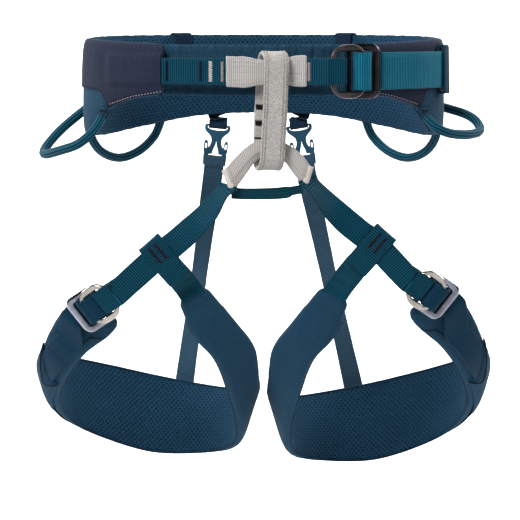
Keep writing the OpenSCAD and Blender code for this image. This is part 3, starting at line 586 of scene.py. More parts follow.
def settle(obj, room, pressure, slack):
    """Lets the stuffing push a padded fabric out where room is above 0, with its seams held."""
    held = np.ones(len(obj.data.vertices))
    held[:room.size] = 1 - np.clip(room.ravel(), 0, 1)
    group = obj.vertex_groups.new(name="seams")
    levels = np.round(held * SEAM_LEVELS).astype(int)
    for level in np.unique(levels):
        group.add(np.nonzero(levels == level)[0].tolist(), float(level) / SEAM_LEVELS, "REPLACE")
    cloth = obj.modifiers.new("stuffing", "CLOTH")
    rules = cloth.settings
    rules.quality = 6
    rules.mass = 0.2
    rules.tension_stiffness = rules.compression_stiffness = 12
    rules.shear_stiffness = 6
    rules.bending_stiffness = 0.05
    rules.vertex_group_mass = "seams"
    rules.use_pressure = True
    rules.uniform_pressure_force = pressure
    rules.shrink_min = -slack
    rules.effector_weights.gravity = 0
    cloth.collision_settings.use_collision = False
    cloth.collision_settings.use_self_collision = False
    cloth.point_cache.frame_start = 1
    cloth.point_cache.frame_end = FRAMES
    for step in range(1, FRAMES + 1):
        scene.frame_set(step)
    settled = obj.evaluated_get(bpy.context.evaluated_depsgraph_get()).to_mesh()
    before = vertex_places(obj.data)
    moved = vertex_places(settled) - before
    far = np.linalg.norm(moved, axis=1, keepdims=True)
    moved = moved * np.minimum(1, FURTHEST * MM / np.maximum(far, 1e-9)) * (1 - held[:, None])
    obj.modifiers.remove(cloth)
    obj.vertex_groups.clear()
    obj.data.vertices.foreach_set("co", (before + moved).ravel())
    obj.data.update()
    scene.frame_set(1)


# ---------- waist belt ----------
WAIST_A, WAIST_B, WAIST_LEAN = 146.0, 105.0, 0.02
UP = arr(0, 0, 1)


def waist_normal(angle, z=0.0):
    turn = np.radians(angle)
    a, b = WAIST_A - WAIST_LEAN * z, WAIST_B - WAIST_LEAN * z
    return unit(np.stack(np.broadcast_arrays(np.sin(turn) / a, -np.cos(turn) / b, 0.0 * turn), axis=-1))


def waist_point(angle, z, off):
    angle, z, off = np.broadcast_arrays(*(np.asarray(v, float) for v in (angle, z, off)))
    turn = np.radians(angle)
    a, b = WAIST_A - WAIST_LEAN * z, WAIST_B - WAIST_LEAN * z
    base = np.stack([a * np.sin(turn), -b * np.cos(turn), z], axis=-1)
    return base + waist_normal(angle, z) * off[..., None]


def along_belt(angle):
    turn = np.radians(angle)
    return unit(arr(WAIST_A * math.cos(turn), WAIST_B * math.sin(turn), 0))


HALF = [(30, 36, -5), (45, 37, -8), (58, 38, -17), (72, 39, -37), (90, 40, -41),
        (112, 41, -43), (135, 41.5, -37), (158, 41.5, -29), (180, 41.5, -27)]
PROFILE = smooth(HALF + [(360 - a, t, b) for a, t, b in HALF[-2::-1]], 12)
BELT_OUT, BELT_IN = 5.9, 6.0


def crown(t, power):
    """Height of a padded section, 1 in the middle and 0 at its edges, where t is -1 and 1."""
    return np.maximum(1 - np.abs(np.clip(t, -1, 1)) ** power, 0) ** (1 / power)


def belt_edges(angle):
    return np.interp(angle, PROFILE[:, 0], PROFILE[:, 1]), np.interp(angle, PROFILE[:, 0], PROFILE[:, 2])


def belt_off(angle, z):
    """Offset of the belt's outer face."""
    top, low = belt_edges(angle)
    t = (z - (top + low) / 2) / ((top - low) / 2)
    return BELT_OUT * crown(t, 3.6)


def belt_length(angle):
    """Length along the belt up to an angle."""
    grid_angle = np.linspace(0, 360, 721)
    return np.interp(angle, grid_angle, run_length(waist_point(grid_angle, 0, 0)))


def end_round(distance, radius):
    """0 at an end, rising to 1 a radius away along a quarter circle."""
    x = np.clip(distance / radius, 0, 1)
    return np.sqrt(np.maximum(1 - (1 - x) ** 2, 0))


def bent(x, power):
    """A cosine or sine drawn towards 1 by a power below 1, which makes a round section squarer."""
    return np.sign(x) * np.abs(x) ** power


def bell(x, middle, width):
    return np.exp(-((x - middle) / width) ** 2)


SHEET = 0.7
BELT_PUCKER = 0.5


def belt_sheet(name, first, last, material, nodes, slot, seed):
    """One face of the padded belt: a sheet with real thickness that wraps round both edges."""
    angles = np.linspace(33.4, 326.6, 481)
    s = belt_length(angles)
    ends = np.minimum(s - s[0], s[-1] - s)
    fat = end_round(ends, 6.0)[:, None]
    top, low = belt_edges(angles)
    middle = ((top + low) / 2)[:, None]
    half = ((top - low) / 2 - (1 - end_round(ends, 9.0)) * 9.0)[:, None]
    turn = np.radians(np.linspace(first, last, 41))
    rise, out = bent(np.cos(turn), 2 / 3.6), bent(np.sin(turn), 2 / 3.6)
    face = np.where(out > 0, BELT_OUT, BELT_IN)
    pucker = BELT_PUCKER * (waves(s, seed, 26)[:, None] * np.abs(np.cos(turn)) ** 3
                            + 0.35 * waves(s, seed + 3, 90)[:, None])
    layers = [waist_point(angles[:, None], middle + half * rise * (1 - depth / 40),
                          (face - depth) * out * fat + pucker * np.sign(out) * 0.6) for depth in (0.0, SHEET)]
    around = run_length(layers[0][len(angles) // 2])
    return make_object(name, *shell(*layers, around, s[:, None]), material, "belt", nodes, slot, 70)


belt_outer = belt_sheet("belt_outer_fabric", -14, 194, M["pad"],
                        ["waist_shell", "waist_foam", "waist_load_webbing"], "pad_fabric", 11)
belt_lining = belt_sheet("belt_mesh_lining", -166, -14, M["mesh"], ["waist_lining"], "mesh_lining", 12)


def tube_points(path, r, sides, ref=None):
    """Rings of a tube along a path; ref stays roughly square to the path."""
    t = unit(np.gradient(path, axis=0))
    side = unit(np.cross(np.broadcast_to(UP if ref is None else ref, path.shape), t))
    top = np.cross(t, side)
    angles = 2 * math.pi * np.arange(sides) / sides
    return (path[:, None, :] + r * (np.cos(angles)[None, :, None] * side[:, None, :]
            + np.sin(angles)[None, :, None] * top[:, None, :]))


def tube_uv(s, r, sides):
    return uv_grid(np.linspace(0, 2 * math.pi * r, sides + 1), s[:, None])


def add_tube(batch, path, r, sides=10, ref=None, mirror=False):
    uv = tube_uv(run_length(path), r, sides)
    batch.add(*grid(tube_points(path, r, sides, ref), uv, wrap_cols=True, cap=True, mirror=mirror))


def belt_binding():
    """Rolled binding along both edges of the belt, where lining and outer fabric meet."""
    rolls = Batch()
    angles = np.linspace(34.8, 325.2, 400)
    top, low = belt_edges(angles)
    ripple = 0.25 * waves(belt_length(angles), 21, 18)
    for edge, sign in ((top, 1), (low, -1)):
        add_tube(rolls, waist_point(angles, edge - sign * 1.0 + ripple, -1.4), 1.35, 10)
    rolls.build("belt_edge_binding", M["binding"], "belt", "binding", ["waist_edge_binding"])


belt_binding()


# ---------- cover patches over the front ends of the belt ----------
# angle round the belt and height of the lower edge
COVER = [(33, -4.5), (45, -9), (57.6, -17), (61, -5), (64, -2.6), (90, -1.5)]
COVER_CORNER = 57.7


def cover_patch(word, side, profile, over_webbing, pale_threads, dark_threads):
    """Twill patch from a front edge to the hip, wrapped over the belt's top edge, with its seam stitches."""
    prof = np.array(profile, float)
    angles = np.unique(np.concatenate([np.linspace(prof[0, 0], 90, 110), prof[:, 0]]))
    low = np.interp(angles, prof[:, 0], prof[:, 1])
    top, _ = belt_edges(angles)
    s = belt_length(angles)
    share = np.linspace(0, 1, 30)
    z = low[:, None] + 1.2 + (top - 0.2 - low - 1.2)[:, None] * share
    off = belt_off(angles[:, None], z)
    if over_webbing:
        off = off + 2.0 * ease((z - 1.0) / 4) * ease((30.0 - z) / 4) * ease((60 - angles[:, None]) / 6)
    off = off + 0.55 + 0.22 * waves(s, 31 + side, 30)[:, None] * np.sin(math.pi * share)
    outer = waist_point(side * angles[:, None], z, off + 0.75)
    under = waist_point(side * angles[:, None], z, off)
    make_object("belt_cover_" + word, *shell(outer, under, z, s[:, None], turn=side > 0), M["cover"], "belt",
                ["waist_cover_" + word], "cover_fabric", 50)
    seam = outer[np.arange(len(angles)), np.argmin(np.abs(z - (low + 2.4)[:, None]), axis=1)]
    normal = waist_normal(side * angles)
    front = angles < COVER_CORNER
    stitch_line(pale_threads, seam[front], normal[front], 3.0, 1.6, 0.26)
    stitch_line(dark_threads, seam[~front], normal[~front], 2.4, 1.6, 0.26)


cover_pale, cover_dark = Batch(), Batch()
cover_patch("left", -1, COVER, True, cover_pale, cover_dark)
cover_patch("right", 1, [(38, -6)] + COVER[1:], False, cover_pale, cover_dark)
cover_pale.build("belt_cover_stitches", M["pale_thread"], "belt", "cover_fabric")
cover_dark.build("belt_cover_dark_stitches", M["dark_thread"], "belt", "cover_fabric")

# ---------- padded guard ----------
GUARD_A, GUARD_B = 136.5, 95.5
GUARD_MID, GUARD_HALF, GUARD_FAT = 15.0, 20.5, 2.6
GUARD_SEAMS = (0.5, 27.0)


def front_guard():
    """Padded band across the front, with a sewn groove near each edge and wrinkles beside them."""
    turn = np.radians(np.linspace(-48, 36, 180))
    line = np.stack([GUARD_A * np.sin(turn), -GUARD_B * np.cos(turn), 0 * turn], axis=1)
    normal = unit(np.stack([np.sin(turn) / GUARD_A, -np.cos(turn) / GUARD_B, 0 * turn], axis=1))
    s = run_length(line)
    ends = np.minimum(s, s[-1] - s)
    fat = end_round(ends, 3.0)[:, None]
    phi = np.radians(np.linspace(0, 350, 36))
    z = GUARD_MID + GUARD_HALF * bent(np.cos(phi), 0.75)
    face = GUARD_FAT * bent(np.sin(phi), 0.7)
    groove = bell(z, GUARD_SEAMS[0], 1.1) + 0.8 * bell(z, GUARD_SEAMS[1], 1.6)
    wrinkle = (waves(s, 41, 12, 6)[:, None] * bell(z, 4.0, 8.0) * 1.2
               + waves(s, 42, 15, 5)[:, None] * bell(z, 29.0, 6.0) * 0.9)
    out = face * (1 - 0.45 * groove * (face > 0)) * fat + wrinkle * (face > 0)
    height = GUARD_MID + (z - GUARD_MID) * (0.9 + 0.1 * fat)
    points = line[:, None, :] + normal[:, None, :] * out[:, :, None] + UP * height[:, :, None]
    cloth = grid(points, uv_grid(np.append(z, z[0]), s[:, None]), wrap_cols=True, cap=True, turn=True)
    guard = make_object("front_guard", *cloth, M["guard"], "belt", ["buckle_guard"], "pad_fabric", 70)
    sewn = np.maximum(bell(z, GUARD_SEAMS[0], 1.6), bell(z, GUARD_SEAMS[1], 2.0))
    settle(guard, ease(ends / 10)[:, None] * (face > 0.6) * (1 - sewn), 5.0, 0.03)


front_guard()

# ---------- front webbing ----------
FRONT_Z = 14.5
SLEEVE_Y = -114.0
BUCKLE = arr(71.5, -106, FRONT_Z)
BUCKLE_U = arr(math.cos(math.radians(20)), math.sin(math.radians(20)), 0)
BUCKLE_N = np.cross(BUCKLE_U, UP)


def at_buckle(u, n):
    return BUCKLE + BUCKLE_U * u + BUCKLE_N * n


TIE_OFF = 6.9
TIE_ROUTE = [waist_point(a, FRONT_Z, TIE_OFF) for a in (-58, -50, -42, -36, -32)] + [
    arr(-58, -104.5, FRONT_Z), arr(-42, -110.7, FRONT_Z), arr(-31, -114, FRONT_Z), arr(-20, -114, FRONT_Z),
    arr(5, -114, FRONT_Z), arr(25, -114, FRONT_Z), arr(34.8, -114.1, FRONT_Z)] + [
    at_buckle(u, n) for u, n in ((-26, 5.4), (-21, 6.2), (-15, 6.4), (-10, 6.3), (-8.4, 5.6), (-8.6, 4.6),
                                 (-11, 3.9), (-13.9, 2.9), (-15.2, 1.5), (-17, 0.85), (-21, 0.8), (-28, 1.4))]
BELAY_X = 5.6


def gather(x):
    return np.cos(np.radians(90 * np.minimum(1, np.abs(x - BELAY_X) / 24))) ** 2


tie_widths = [21 - 6 * float(gather(p[0])) for p in TIE_ROUTE]
_, tie_frames = strap("tie_in_webbing_ribbed", TIE_ROUTE, UP, tie_widths, 1.6, M["webbing"], "belt",
                      ["tie_in_webbing"], "webbing", pitch=2.05, rib=0.3, drift=0.1)


def near(frames, point):
    """Length along a strap nearest to a point."""
    return frames[1][int(np.argmin(np.linalg.norm(frames[0] - np.asarray(point), axis=1)))]


def front_tacks(name, material, slot, tacks):
    batch = Batch()
    for x, y, width, depth in tacks:
        tack(batch, tie_frames, near(tie_frames, (x, y, FRONT_Z)), width, depth, 1.7)
    batch.build(name, M[material], "belt", slot)


front_tacks("tie_in_bartack_pale", "pale_thread", "loop_fabric", [(-42, -110.7, 15.5, 3.6)])
front_tacks("tie_in_bartacks_grey", "pink_thread", "loop_fabric",
            [(-33, -113.5, 15, 2.4), (36.3, -114, 14, 3.0), (46.5, -117, 14, 3.2)])
front_tacks("tie_in_bartacks_dark", "dark_thread", "webbing", [(-77, -95, 15, 2.6), (-50, -108, 15, 2.2)])

SLEEVE_HALF = 12.3
FORWARD = arr(0, -1, 0)


def upper_sleeve():
    """Sleeve of the upper tie-in point, with ribs along it and hemmed ends."""
    x = np.concatenate([[-30, -30.0], np.linspace(-29.4, 33.4, 90), [34.0, 34.0]])
    size = np.concatenate([[0.72, 0.96], np.ones(90), [0.96, 0.72]])[:, None]
    hem = (bell(x, -28, 1.6) + bell(x, 32, 1.6))[:, None]
    half_w = ((24.6 - 6 * gather(x)) / 2 + 0.25 * waves(x, 51, 22))[:, None]
    angles = np.linspace(0, 2 * math.pi, 97)[:-1]
    wide, deep = bent(np.cos(angles), 0.42), bent(np.sin(angles), 0.6)
    ribs = 0.5 - 0.5 * np.cos(2 * math.pi * wide * SLEEVE_HALF / 2.9)
    thick = 2.6 + 0.5 * hem - 0.5 * ribs * (1 - 0.8 * np.minimum(hem, 1))
    fray = 0.5 * wide * (np.abs(x) > 29)[:, None] * waves(wide * 9, 5, 9)
    points = np.stack(np.broadcast_arrays(
        x[:, None] + fray, SLEEVE_Y - deep * thick * size,
        FRONT_Z + half_w * wide * size - 0.5 * np.cos((x[:, None] + 8) / 13)), axis=2)
    uv = uv_grid(np.append(wide, wide[0]) * SLEEVE_HALF, x[:, None])
    cloth = grid(points, uv, wrap_cols=True, cap=True)
    make_object("tie_in_upper_sleeve", *cloth, M["tie"], "belt", ["tie_in_sleeve_upper"], "loop_fabric", 60)


def sleeve_line(batch, x, off, z, *stitches):
    line = np.stack(np.broadcast_arrays(x, SLEEVE_Y - off, FRONT_Z + z), axis=1)
    stitch_line(batch, line, FORWARD, *stitches)


upper_sleeve()
sleeve_threads, sleeve_dots = Batch(), Batch()
for x0, x1 in ((-27.0, -6.5), (17.6, 31.5)):
    xs = np.linspace(x0, x1, 30)
    sleeve_line(sleeve_dots, xs, 2.3, -1.0 - 0.02 * (xs - 5), 1.9, 0.9, 0.26)
    for dz in (7.2, -7.4):
        sleeve_line(sleeve_threads, xs, 2.15, dz * (1 - 0.22 * gather(xs)), 2.2, 1.6, 0.22)
for x in (-27.6, 31.7):
    sleeve_line(sleeve_threads, x, 2.55, np.linspace(-10.3, 10.3, 12), 2.0, 1.4, 0.24)
sleeve_threads.build("tie_in_upper_stitches", M["pale_thread"], "belt", "loop_fabric")
sleeve_dots.build("tie_in_upper_seam", M["black_thread"], "belt", "loop_fabric")


# ---------- belay loop ----------
BELAY_MID = -16.7
BELAY_CIRCLES = ((19.1, 8), (BELAY_MID, 9.5), (-52.5, 8))
BELAY_HALF_THICK = 1.8


def hull(points):
    """Outline round a set of points, counter-clockwise."""
    order = sorted(points)
    outline = []
    for run in (order, order[::-1]):
        chain = []
        for x, y in run:
            while len(chain) > 1:
                (ax, ay), (bx, by) = chain[-2:]
                if (bx - ax) * (y - ay) - (by - ay) * (x - ax) > 1e-9:
                    break
                chain.pop()
            chain.append((x, y))
        outline.extend(chain[:-1])
    return np.array(outline)


def belay_outline():
    """Closed middle line of the belay loop in y and z, from the front of its middle circle."""
    angles = np.radians(np.arange(0, 360, 4))
    dots = [((r + BELAY_HALF_THICK) * math.cos(a), z + (r + BELAY_HALF_THICK) * math.sin(a))
            for z, r in BELAY_CIRCLES for a in angles]
    line = hull(dots)
    front = int(np.argmin(np.abs(line[:, 1] - BELAY_MID) + (line[:, 0] > 0) * 1000))
    line = np.roll(line, -front, axis=0)
    return np.vstack([line, line[:1]])


def belay_loop():
    y, z = belay_outline().T
    route = np.stack([BELAY_X - 0.3 * y + 0.045 * (z - BELAY_MID), SLEEVE_Y + y, z], axis=1)
    _, frames = strap("belay_loop_webbing", route, arr(1, 0, 0), 19.6, 3.5, M["belay"], "belay", ["belay_loop"],
                      "loop_fabric", pitch=1.5, rib=0.0, step=1.0, steps=2, closed=True, columns=9)
    c, _, t, w, n = frames
    outward = n * np.sign(np.sum(n * (c - c.mean(axis=0)), axis=1).mean())
    zigzag, tacks = Batch(), Batch()
    for side in (-1, 1):
        for inset in (1.5, 3.6):
            edge = c + w * side * (9.8 - inset) + outward * BELAY_HALF_THICK
            for k in range(0, len(edge) - 3, 2):
                sway = w[k] * (0.45 if (k // 2) % 2 else -0.45)
                thread(zigzag, edge[k] - sway, edge[k + 2] + sway, outward[k], 0.3)
    zigzag.build("belay_loop_stitches", M["grey_thread"], "belay", "loop_fabric")
    for height, depth, width, shift in ((-14, 5.4, 6.4, -5.0), (-27, 5.4, 6.4, -5.0), (-39, 1.4, 9.0, -4.0)):
        k = int(np.argmin(np.linalg.norm(c - arr(BELAY_X - 3, SLEEVE_Y + 11, height), axis=1)))
        right = w[k] * np.sign(w[k][0])
        for face in (n[k], -n[k]):
            centre = c[k] + face * BELAY_HALF_THICK + right * shift
            bartack(tacks, centre, w[k], t[k], face, width, depth, r=0.6, pitch=0.6)
    tacks.build("belay_loop_bartacks", M["black_thread"], "belay", "loop_fabric")


belay_loop()

# ---------- lower tie-in point ----------
ARCH_OUTER = [(-32, -112.5, -64), (-18.7, -113.5, -49.5), (-7, -114, -41), (5, -114, -39.5), (17, -114, -42),
              (29.9, -113.5, -51.1), (38, -112.5, -61.5)]
ARCH_INNER = [(-24.8, -112.5, -82.3), (-13, -113.5, -66), (-6.5, -114, -57.5), (5, -114, -52), (16, -114, -57),
              (24, -113.5, -67.5), (33, -112.5, -78)]
# share of the width from the outer edge, and height towards the front
ARCH_SECTION = arr(
    (0.0, 0.0), (0.008, 1.1), (0.04, 2.1), (0.10, 2.6), (0.25, 2.8), (0.42, 2.9), (0.58, 2.9), (0.635, 2.75),
    (0.66, 2.35), (0.70, 2.3), (0.74, 2.0), (0.78, 1.95), (0.82, 1.6), (0.86, 1.5), (0.90, 1.1), (0.96, 0.8),
    (1.0, 0.0), (0.96, -1.5), (0.85, -2.4), (0.5, -2.7), (0.15, -2.5), (0.03, -1.4))


def lower_arch():
    """Sleeve of the lower tie-in point, stepped down to its inner edge, with a lip at each end."""
    outer, inner = smooth(ARCH_OUTER, 14), smooth(ARCH_INNER, 14)
    share, lift = ARCH_SECTION.T
    middle = (outer + inner) / 2
    s = run_length(middle)
    closing = end_round(np.minimum(s, s[-1] - s) + 0.6, 2.0)[:, None]
    points = (outer[:, None, :] + (inner - outer)[:, None, :] * (0.5 + (share - 0.5) * 0.99)[:, None]
              + FORWARD * (lift * closing)[:, :, None])
    width = np.linalg.norm(inner - outer, axis=1)[:, None]
    cloth = grid(points, uv_grid(np.append(share, share[0]) * width, s[:, None]), wrap_cols=True, cap=True)
    make_object("tie_in_lower_sleeve", *cloth, M["tie"], "belt", ["tie_in_sleeve_lower", "tie_in_core_lower"],
                "loop_fabric", 60)
    ridge, seams, lips = Batch(), Batch(), Batch()
    stitch_line(seams, outer * 0.93 + inner * 0.07 + FORWARD * 2.5, FORWARD, 2.1, 1.2, 0.2)
    stitch_line(ridge, outer * 0.38 + inner * 0.62 + FORWARD * 2.95, FORWARD, 1.6, 1.2, 0.2)
    for end, other in ((0, 3), (-1, -4)):
        o, i = outer[end], inner[end]
        inward = unit(middle[other] - middle[end])
        line = o * 0.98 + i * 0.02 + (i - o) * np.linspace(0, 0.96, 16)[:, None] + inward * 1.4
        add_tube(lips, line + FORWARD * 0.1, 3.0, 14, ref=FORWARD)
        seam = o * 0.9 + i * 0.1 + (i - o) * np.linspace(0, 0.55, 12)[:, None] + inward * 5.4 + FORWARD * 3.0
        stitch_line(seams, seam, FORWARD, 1.9, 1.3, 0.22)
    ridge.build("tie_in_lower_ridge_stitches", M["pale_thread"], "belt", "loop_fabric")
    seams.build("tie_in_lower_seam", M["pink_thread"], "belt", "loop_fabric")
    lips.build("tie_in_lower_lips", M["lip"], "belt", "loop_fabric")


lower_arch()

strap("leg_cross_webbing", [(-26, -106.5, -83), (-10, -107, -83.5), (10, -107, -83), (19, -106.9, -82),
                            (22, -106.8, -81.2), (31, -106.5, -79.5)],
      UP, [9, 9.2, 9.4, 9.6, 7.6, 7.2], 2.4, M["cross_web"], "belt", ["leg_cross_strap"], "webbing", rib=0.0,
      step=1.0, columns=31, long_ribs=6)


# ---------- buckles ----------
def rounded(x0, x1, y0, y1, r, corner=7):
    """Points round a rectangle with round corners, counter-clockwise, the same number for any size."""
    pts = []
    for cx, cy, a0 in ((x1 - r, y1 - r, 0), (x0 + r, y1 - r, 90), (x0 + r, y0 + r, 180), (x1 - r, y0 + r, 270)):
        for k in range(corner + 1):
            a = math.radians(a0 + 90 * k / corner)
            pts.append((cx + r * math.cos(a), cy + r * math.sin(a)))
    return np.array(pts)


def placed(points, origin, u, w):
    n = np.cross(u, w)
    return origin + points[..., :1] * u + points[..., 1:2] * w + points[..., 2:3] * n


def loft_ring(name, loops, origin, u, w, material, body, node, slot, mirror, sharp=35):
    """Metal ring through closed loops that go once round its section. Each is an outline and its height."""
    rings = np.array([np.column_stack([outline, np.full(len(outline), z)]) for outline, z in loops])
    points = placed(rings, origin, u, w)
    uv = np.zeros((len(loops) + 1, rings.shape[1] + 1, 2))
    made = grid(points, uv, wrap_rows=True, wrap_cols=True, mirror=mirror)
    make_object(name, *made, material, body, [node], slot, sharp)


def shrink(box, d, r):
    x0, x1, y0, y1 = box
    return rounded(x0 + d, x1 - d, y0 + d, y1 - d, max(r - d, 0.4))


def buckle_ring(name, width, length, origin, u, w, material, body, node, slot, mirror=False):
    """Flat oval ring with rounded, slightly bevelled bars."""
    bar, pivot = 5.5, 11.0
    half = width / 2 + 1 + bar
    outer = (pivot - length, pivot, -half, half)
    inner = (pivot - length + bar, pivot - bar, -half + bar, half - bar)
    r0, r1 = length * 0.42, 3.0
    z0, z1 = 2.0, 5.0
    loops = [(shrink(outer, d, r0), z) for d, z in (
        (1.0, z0), (0.25, z0 + 0.45), (0, z0 + 1.5), (0.3, z1 - 0.55), (0.9, z1))]
    loops += [(shrink(inner, d, r1), z) for d, z in (
        (-0.9, z1), (-0.3, z1 - 0.5), (0, z0 + 1.5), (-0.25, z0 + 0.45), (-1.0, z0))]
    loft_ring(name, loops, origin, u, w, material, body, node, slot, mirror)


def buckle_frame(name, width, reach, origin, u, w, material, body, node, slot, mirror=False):
    """Frame with a wide outer bar whose edges slope down like facets."""
    bar = 5.5
    half = width / 2 + 1 + bar + 0.5
    outer = (-6.0, reach, -half, half)
    inner = (-2.0, reach - 6.5, -half + bar, half - bar)
    loops = [(shrink(outer, d, r), z) for d, r, z in (
        (1.0, 7.5, -1.5), (0.2, 7.5, -1.0), (0, 7.5, -0.1), (0.25, 7.5, 0.35), (2.2, 6.5, 1.45))]
    loops += [(shrink(inner, d, r), z) for d, r, z in (
        (-1.2, 2.4, 1.5), (-0.35, 2, 1.1), (0, 2, 0.3), (-0.2, 2, -1.1), (-0.9, 2, -1.5))]
    loft_ring(name, loops, origin, u, w, material, body, node, slot, mirror, 28)


buckle_ring("waist_buckle_oval", 30, 32, BUCKLE, BUCKLE_U, UP, M["grey_metal"], "belt", "waist_buckle_ring",
            "dark_metal")
buckle_frame("waist_buckle_plate", 30, 23.5, BUCKLE, BUCKLE_U, UP, M["dark_metal"], "waist_frame",
             "waist_buckle_frame", "dark_metal")


def buckle_strap(reach, start):
    """Route of a strap that comes up through the ring at u = start and goes down inside the frame."""
    return [(reach + 7, -6.3), (14, -6.4), (9, -6.0), (start + 2.6, -5.2), (start + 0.3, -2.6), (start, 1.0),
            (start + 0.4, 4.2), (start + 2.4, 6.2), (start + 5.5, 6.7), (11, 6.2), (13.2, 3.6), (14.2, -0.8),
            (17.2, -3.9), (reach - 2, -4.3), (reach + 7, -4.3)]


UNDER, OVER = 8.0, 9.9
waist_route = ([waist_point(a, FRONT_Z, UNDER) for a in np.arange(84, 51, -6.5)]
               + [at_buckle(*p) for p in buckle_strap(23.5, 1.6)]
               + [waist_point(a, FRONT_Z, OVER) for a in np.arange(51.5, 78, 6.5)])
strap("waist_adjust_strap", waist_route, UP, 30, 1.6, M["waist_web"], "belt", ["waist_strap"], "webbing",
      pitch=1.8, rib=0.34, columns=9, drift=0.08, seed=3)

# Elastic keeper round the belt strap
KEEPER_ANGLE = 74.2
keeper_box = rounded(7.0, 12.1, -4.8, 34.0, 1.6, 5)
keeper_box = np.vstack([keeper_box, keeper_box[:1]])
keeper_route = np.array([waist_point(KEEPER_ANGLE, z, off) for off, z in keeper_box])
strap("waist_strap_keeper_elastic", keeper_route, along_belt(KEEPER_ANGLE), 12.5, 1.9, M["keeper"], "belt",
      ["waist_strap_keeper"], "elastic", pitch=1.2, rib=0.1, steps=4, closed=True, step=0.6)

# ---------- gear loops ----------
GEAR_OFF = 10.0
GEAR_R = 4.0
GEAR = {
    "front_left": [waist_point(-58.5, -24, GEAR_OFF), (-140, -66, -36), (-152, -62, -46), (-168, -50, -52),
                   (-181, -32, -56), (-184, -18, -54), (-179, -4, -46), (-170, 10, -36),
                   waist_point(-103, -24, GEAR_OFF + 4), waist_point(-108, -18, GEAR_OFF)],
    "front_right": [waist_point(58.5, -24, GEAR_OFF), (141, -66, -32), (152, -61, -37), (167, -48, -39),
                    (178, -32, -38), (181, -18, -34), (177, -4, -28), (170, 10, -24),
                    waist_point(103, -20, GEAR_OFF + 4), waist_point(108, -18, GEAR_OFF)],
    "rear_left": [waist_point(-112.5, -24, GEAR_OFF), (-150, 50, -42), (-143, 64, -58), (-128, 81, -66),
                  (-111, 94, -61), (-97, 103, -48), waist_point(-145, -32, GEAR_OFF + 3),
                  waist_point(-147, -20, GEAR_OFF)],
}
GEAR["rear_right"] = [np.array(p) * arr(-1, 1, 1) for p in GEAR["rear_left"]]
GEAR_REF = {"front_left": (0.45, 0.3, -1), "front_right": (0.1, 0.2, 1), "rear_left": (1, -1.2, 0),
            "rear_right": (1, 1.2, 0)}
GEAR_SIDES, GEAR_STRANDS, GEAR_GROOVE = 54, 9, 0.42


def gear_loop(key):
    """Cord of a gear loop, with grooves along it."""
    path = smooth(GEAR[key], 14)
    s = run_length(path)
    path = at_lengths(path, s, np.linspace(0, s[-1], 110))
    points = tube_points(path, GEAR_R, GEAR_SIDES, unit(GEAR_REF[key]))
    groove = GEAR_GROOVE * (0.5 - 0.5 * np.cos(2 * math.pi * np.arange(GEAR_SIDES) / GEAR_SIDES * GEAR_STRANDS))
    points = path[:, None, :] + (points - path[:, None, :]) * (1 - groove / GEAR_R)[None, :, None]
    cord = grid(points, tube_uv(run_length(path), GEAR_R, GEAR_SIDES), wrap_cols=True, cap=True)
    make_object("gear_loop_cord_" + key, *cord, M["cord"], "gear_" + key, ["gear_loop_" + key], "loop_cord", 60)


def gear_anchor(tabs, threads, at, top, low):
    """Small sewn tab that holds an end of a gear loop at an angle round the belt."""
    box = rounded(-4.6, 4.6, low - 0.5, top + 0.5, 1.2, 3)
    rings = []
    for off, grow in ((6.2, 0.0), (8.6, 0.0), (9.3, -0.5), (9.5, -1.3)):
        scaled = box + np.sign(box - box.mean(axis=0)) * grow
        rings.append([waist_point(at, z, off) + along_belt(at) * x for x, z in scaled])
    uv = np.broadcast_to(np.vstack([box, box[:1]]), (len(rings), len(box) + 1, 2))
    tabs.add(*grid(np.array(rings), uv, wrap_cols=True, cap=True))
    bartack(threads, waist_point(at, (top + low) / 2, 9.5), along_belt(at), UP, waist_normal(at), 6.5, 1.8)


for key in GEAR:
    gear_loop(key)
anchors, anchor_threads = Batch(), Batch()
for angle, top, low in ((58.5, -17, -20.5), (108, -4, -13), (112.5, -9, -19), (147, -6, -15)):
    for side in (-1, 1):
        gear_anchor(anchors, anchor_threads, side * angle, top, low)
anchors.build("gear_loop_tabs", M["binding"], "belt", "binding", ["gear_loop_anchors"])
anchor_threads.build("gear_loop_tab_stitches", M["dark_thread"], "belt", "binding")

# ---------- tabs on the top edge of the back ----------
# height and offset from the belt's middle surface
TAB_ROUTE = [(8, 6.8), (25, 6.8), (40.7, 6.8), (42.5, 5.6), (43, -0.15), (42.5, -5.9), (40.7, -7.1),
             (33, -7.1)]
for k, angle in enumerate((150, 210)):
    route = [waist_point(angle, z, off) for z, off in TAB_ROUTE]
    strap("belt_top_tab_%d" % (k + 1), route, along_belt(angle), 15, 1.2, M["tab"], "belt", ["tool_tabs"],
          "webbing", pitch=1.6, rib=0.2, seed=5 + k)

# ---------- rear tabs and clips ----------
# place of the clip, its lean in degrees, and the angle of its tab round the belt; the right one is mirrored
CLIPS = {"left": (arr(-42, 107, -54), 6, -164), "right": (arr(-34, 107.5, -54), 9, -167)}


def clip_axes(lean):
    """Directions across and up a leaning clip."""
    turn = math.radians(lean)
    return arr(-math.cos(turn), 0, math.sin(turn)), arr(math.sin(turn), 0, math.cos(turn))


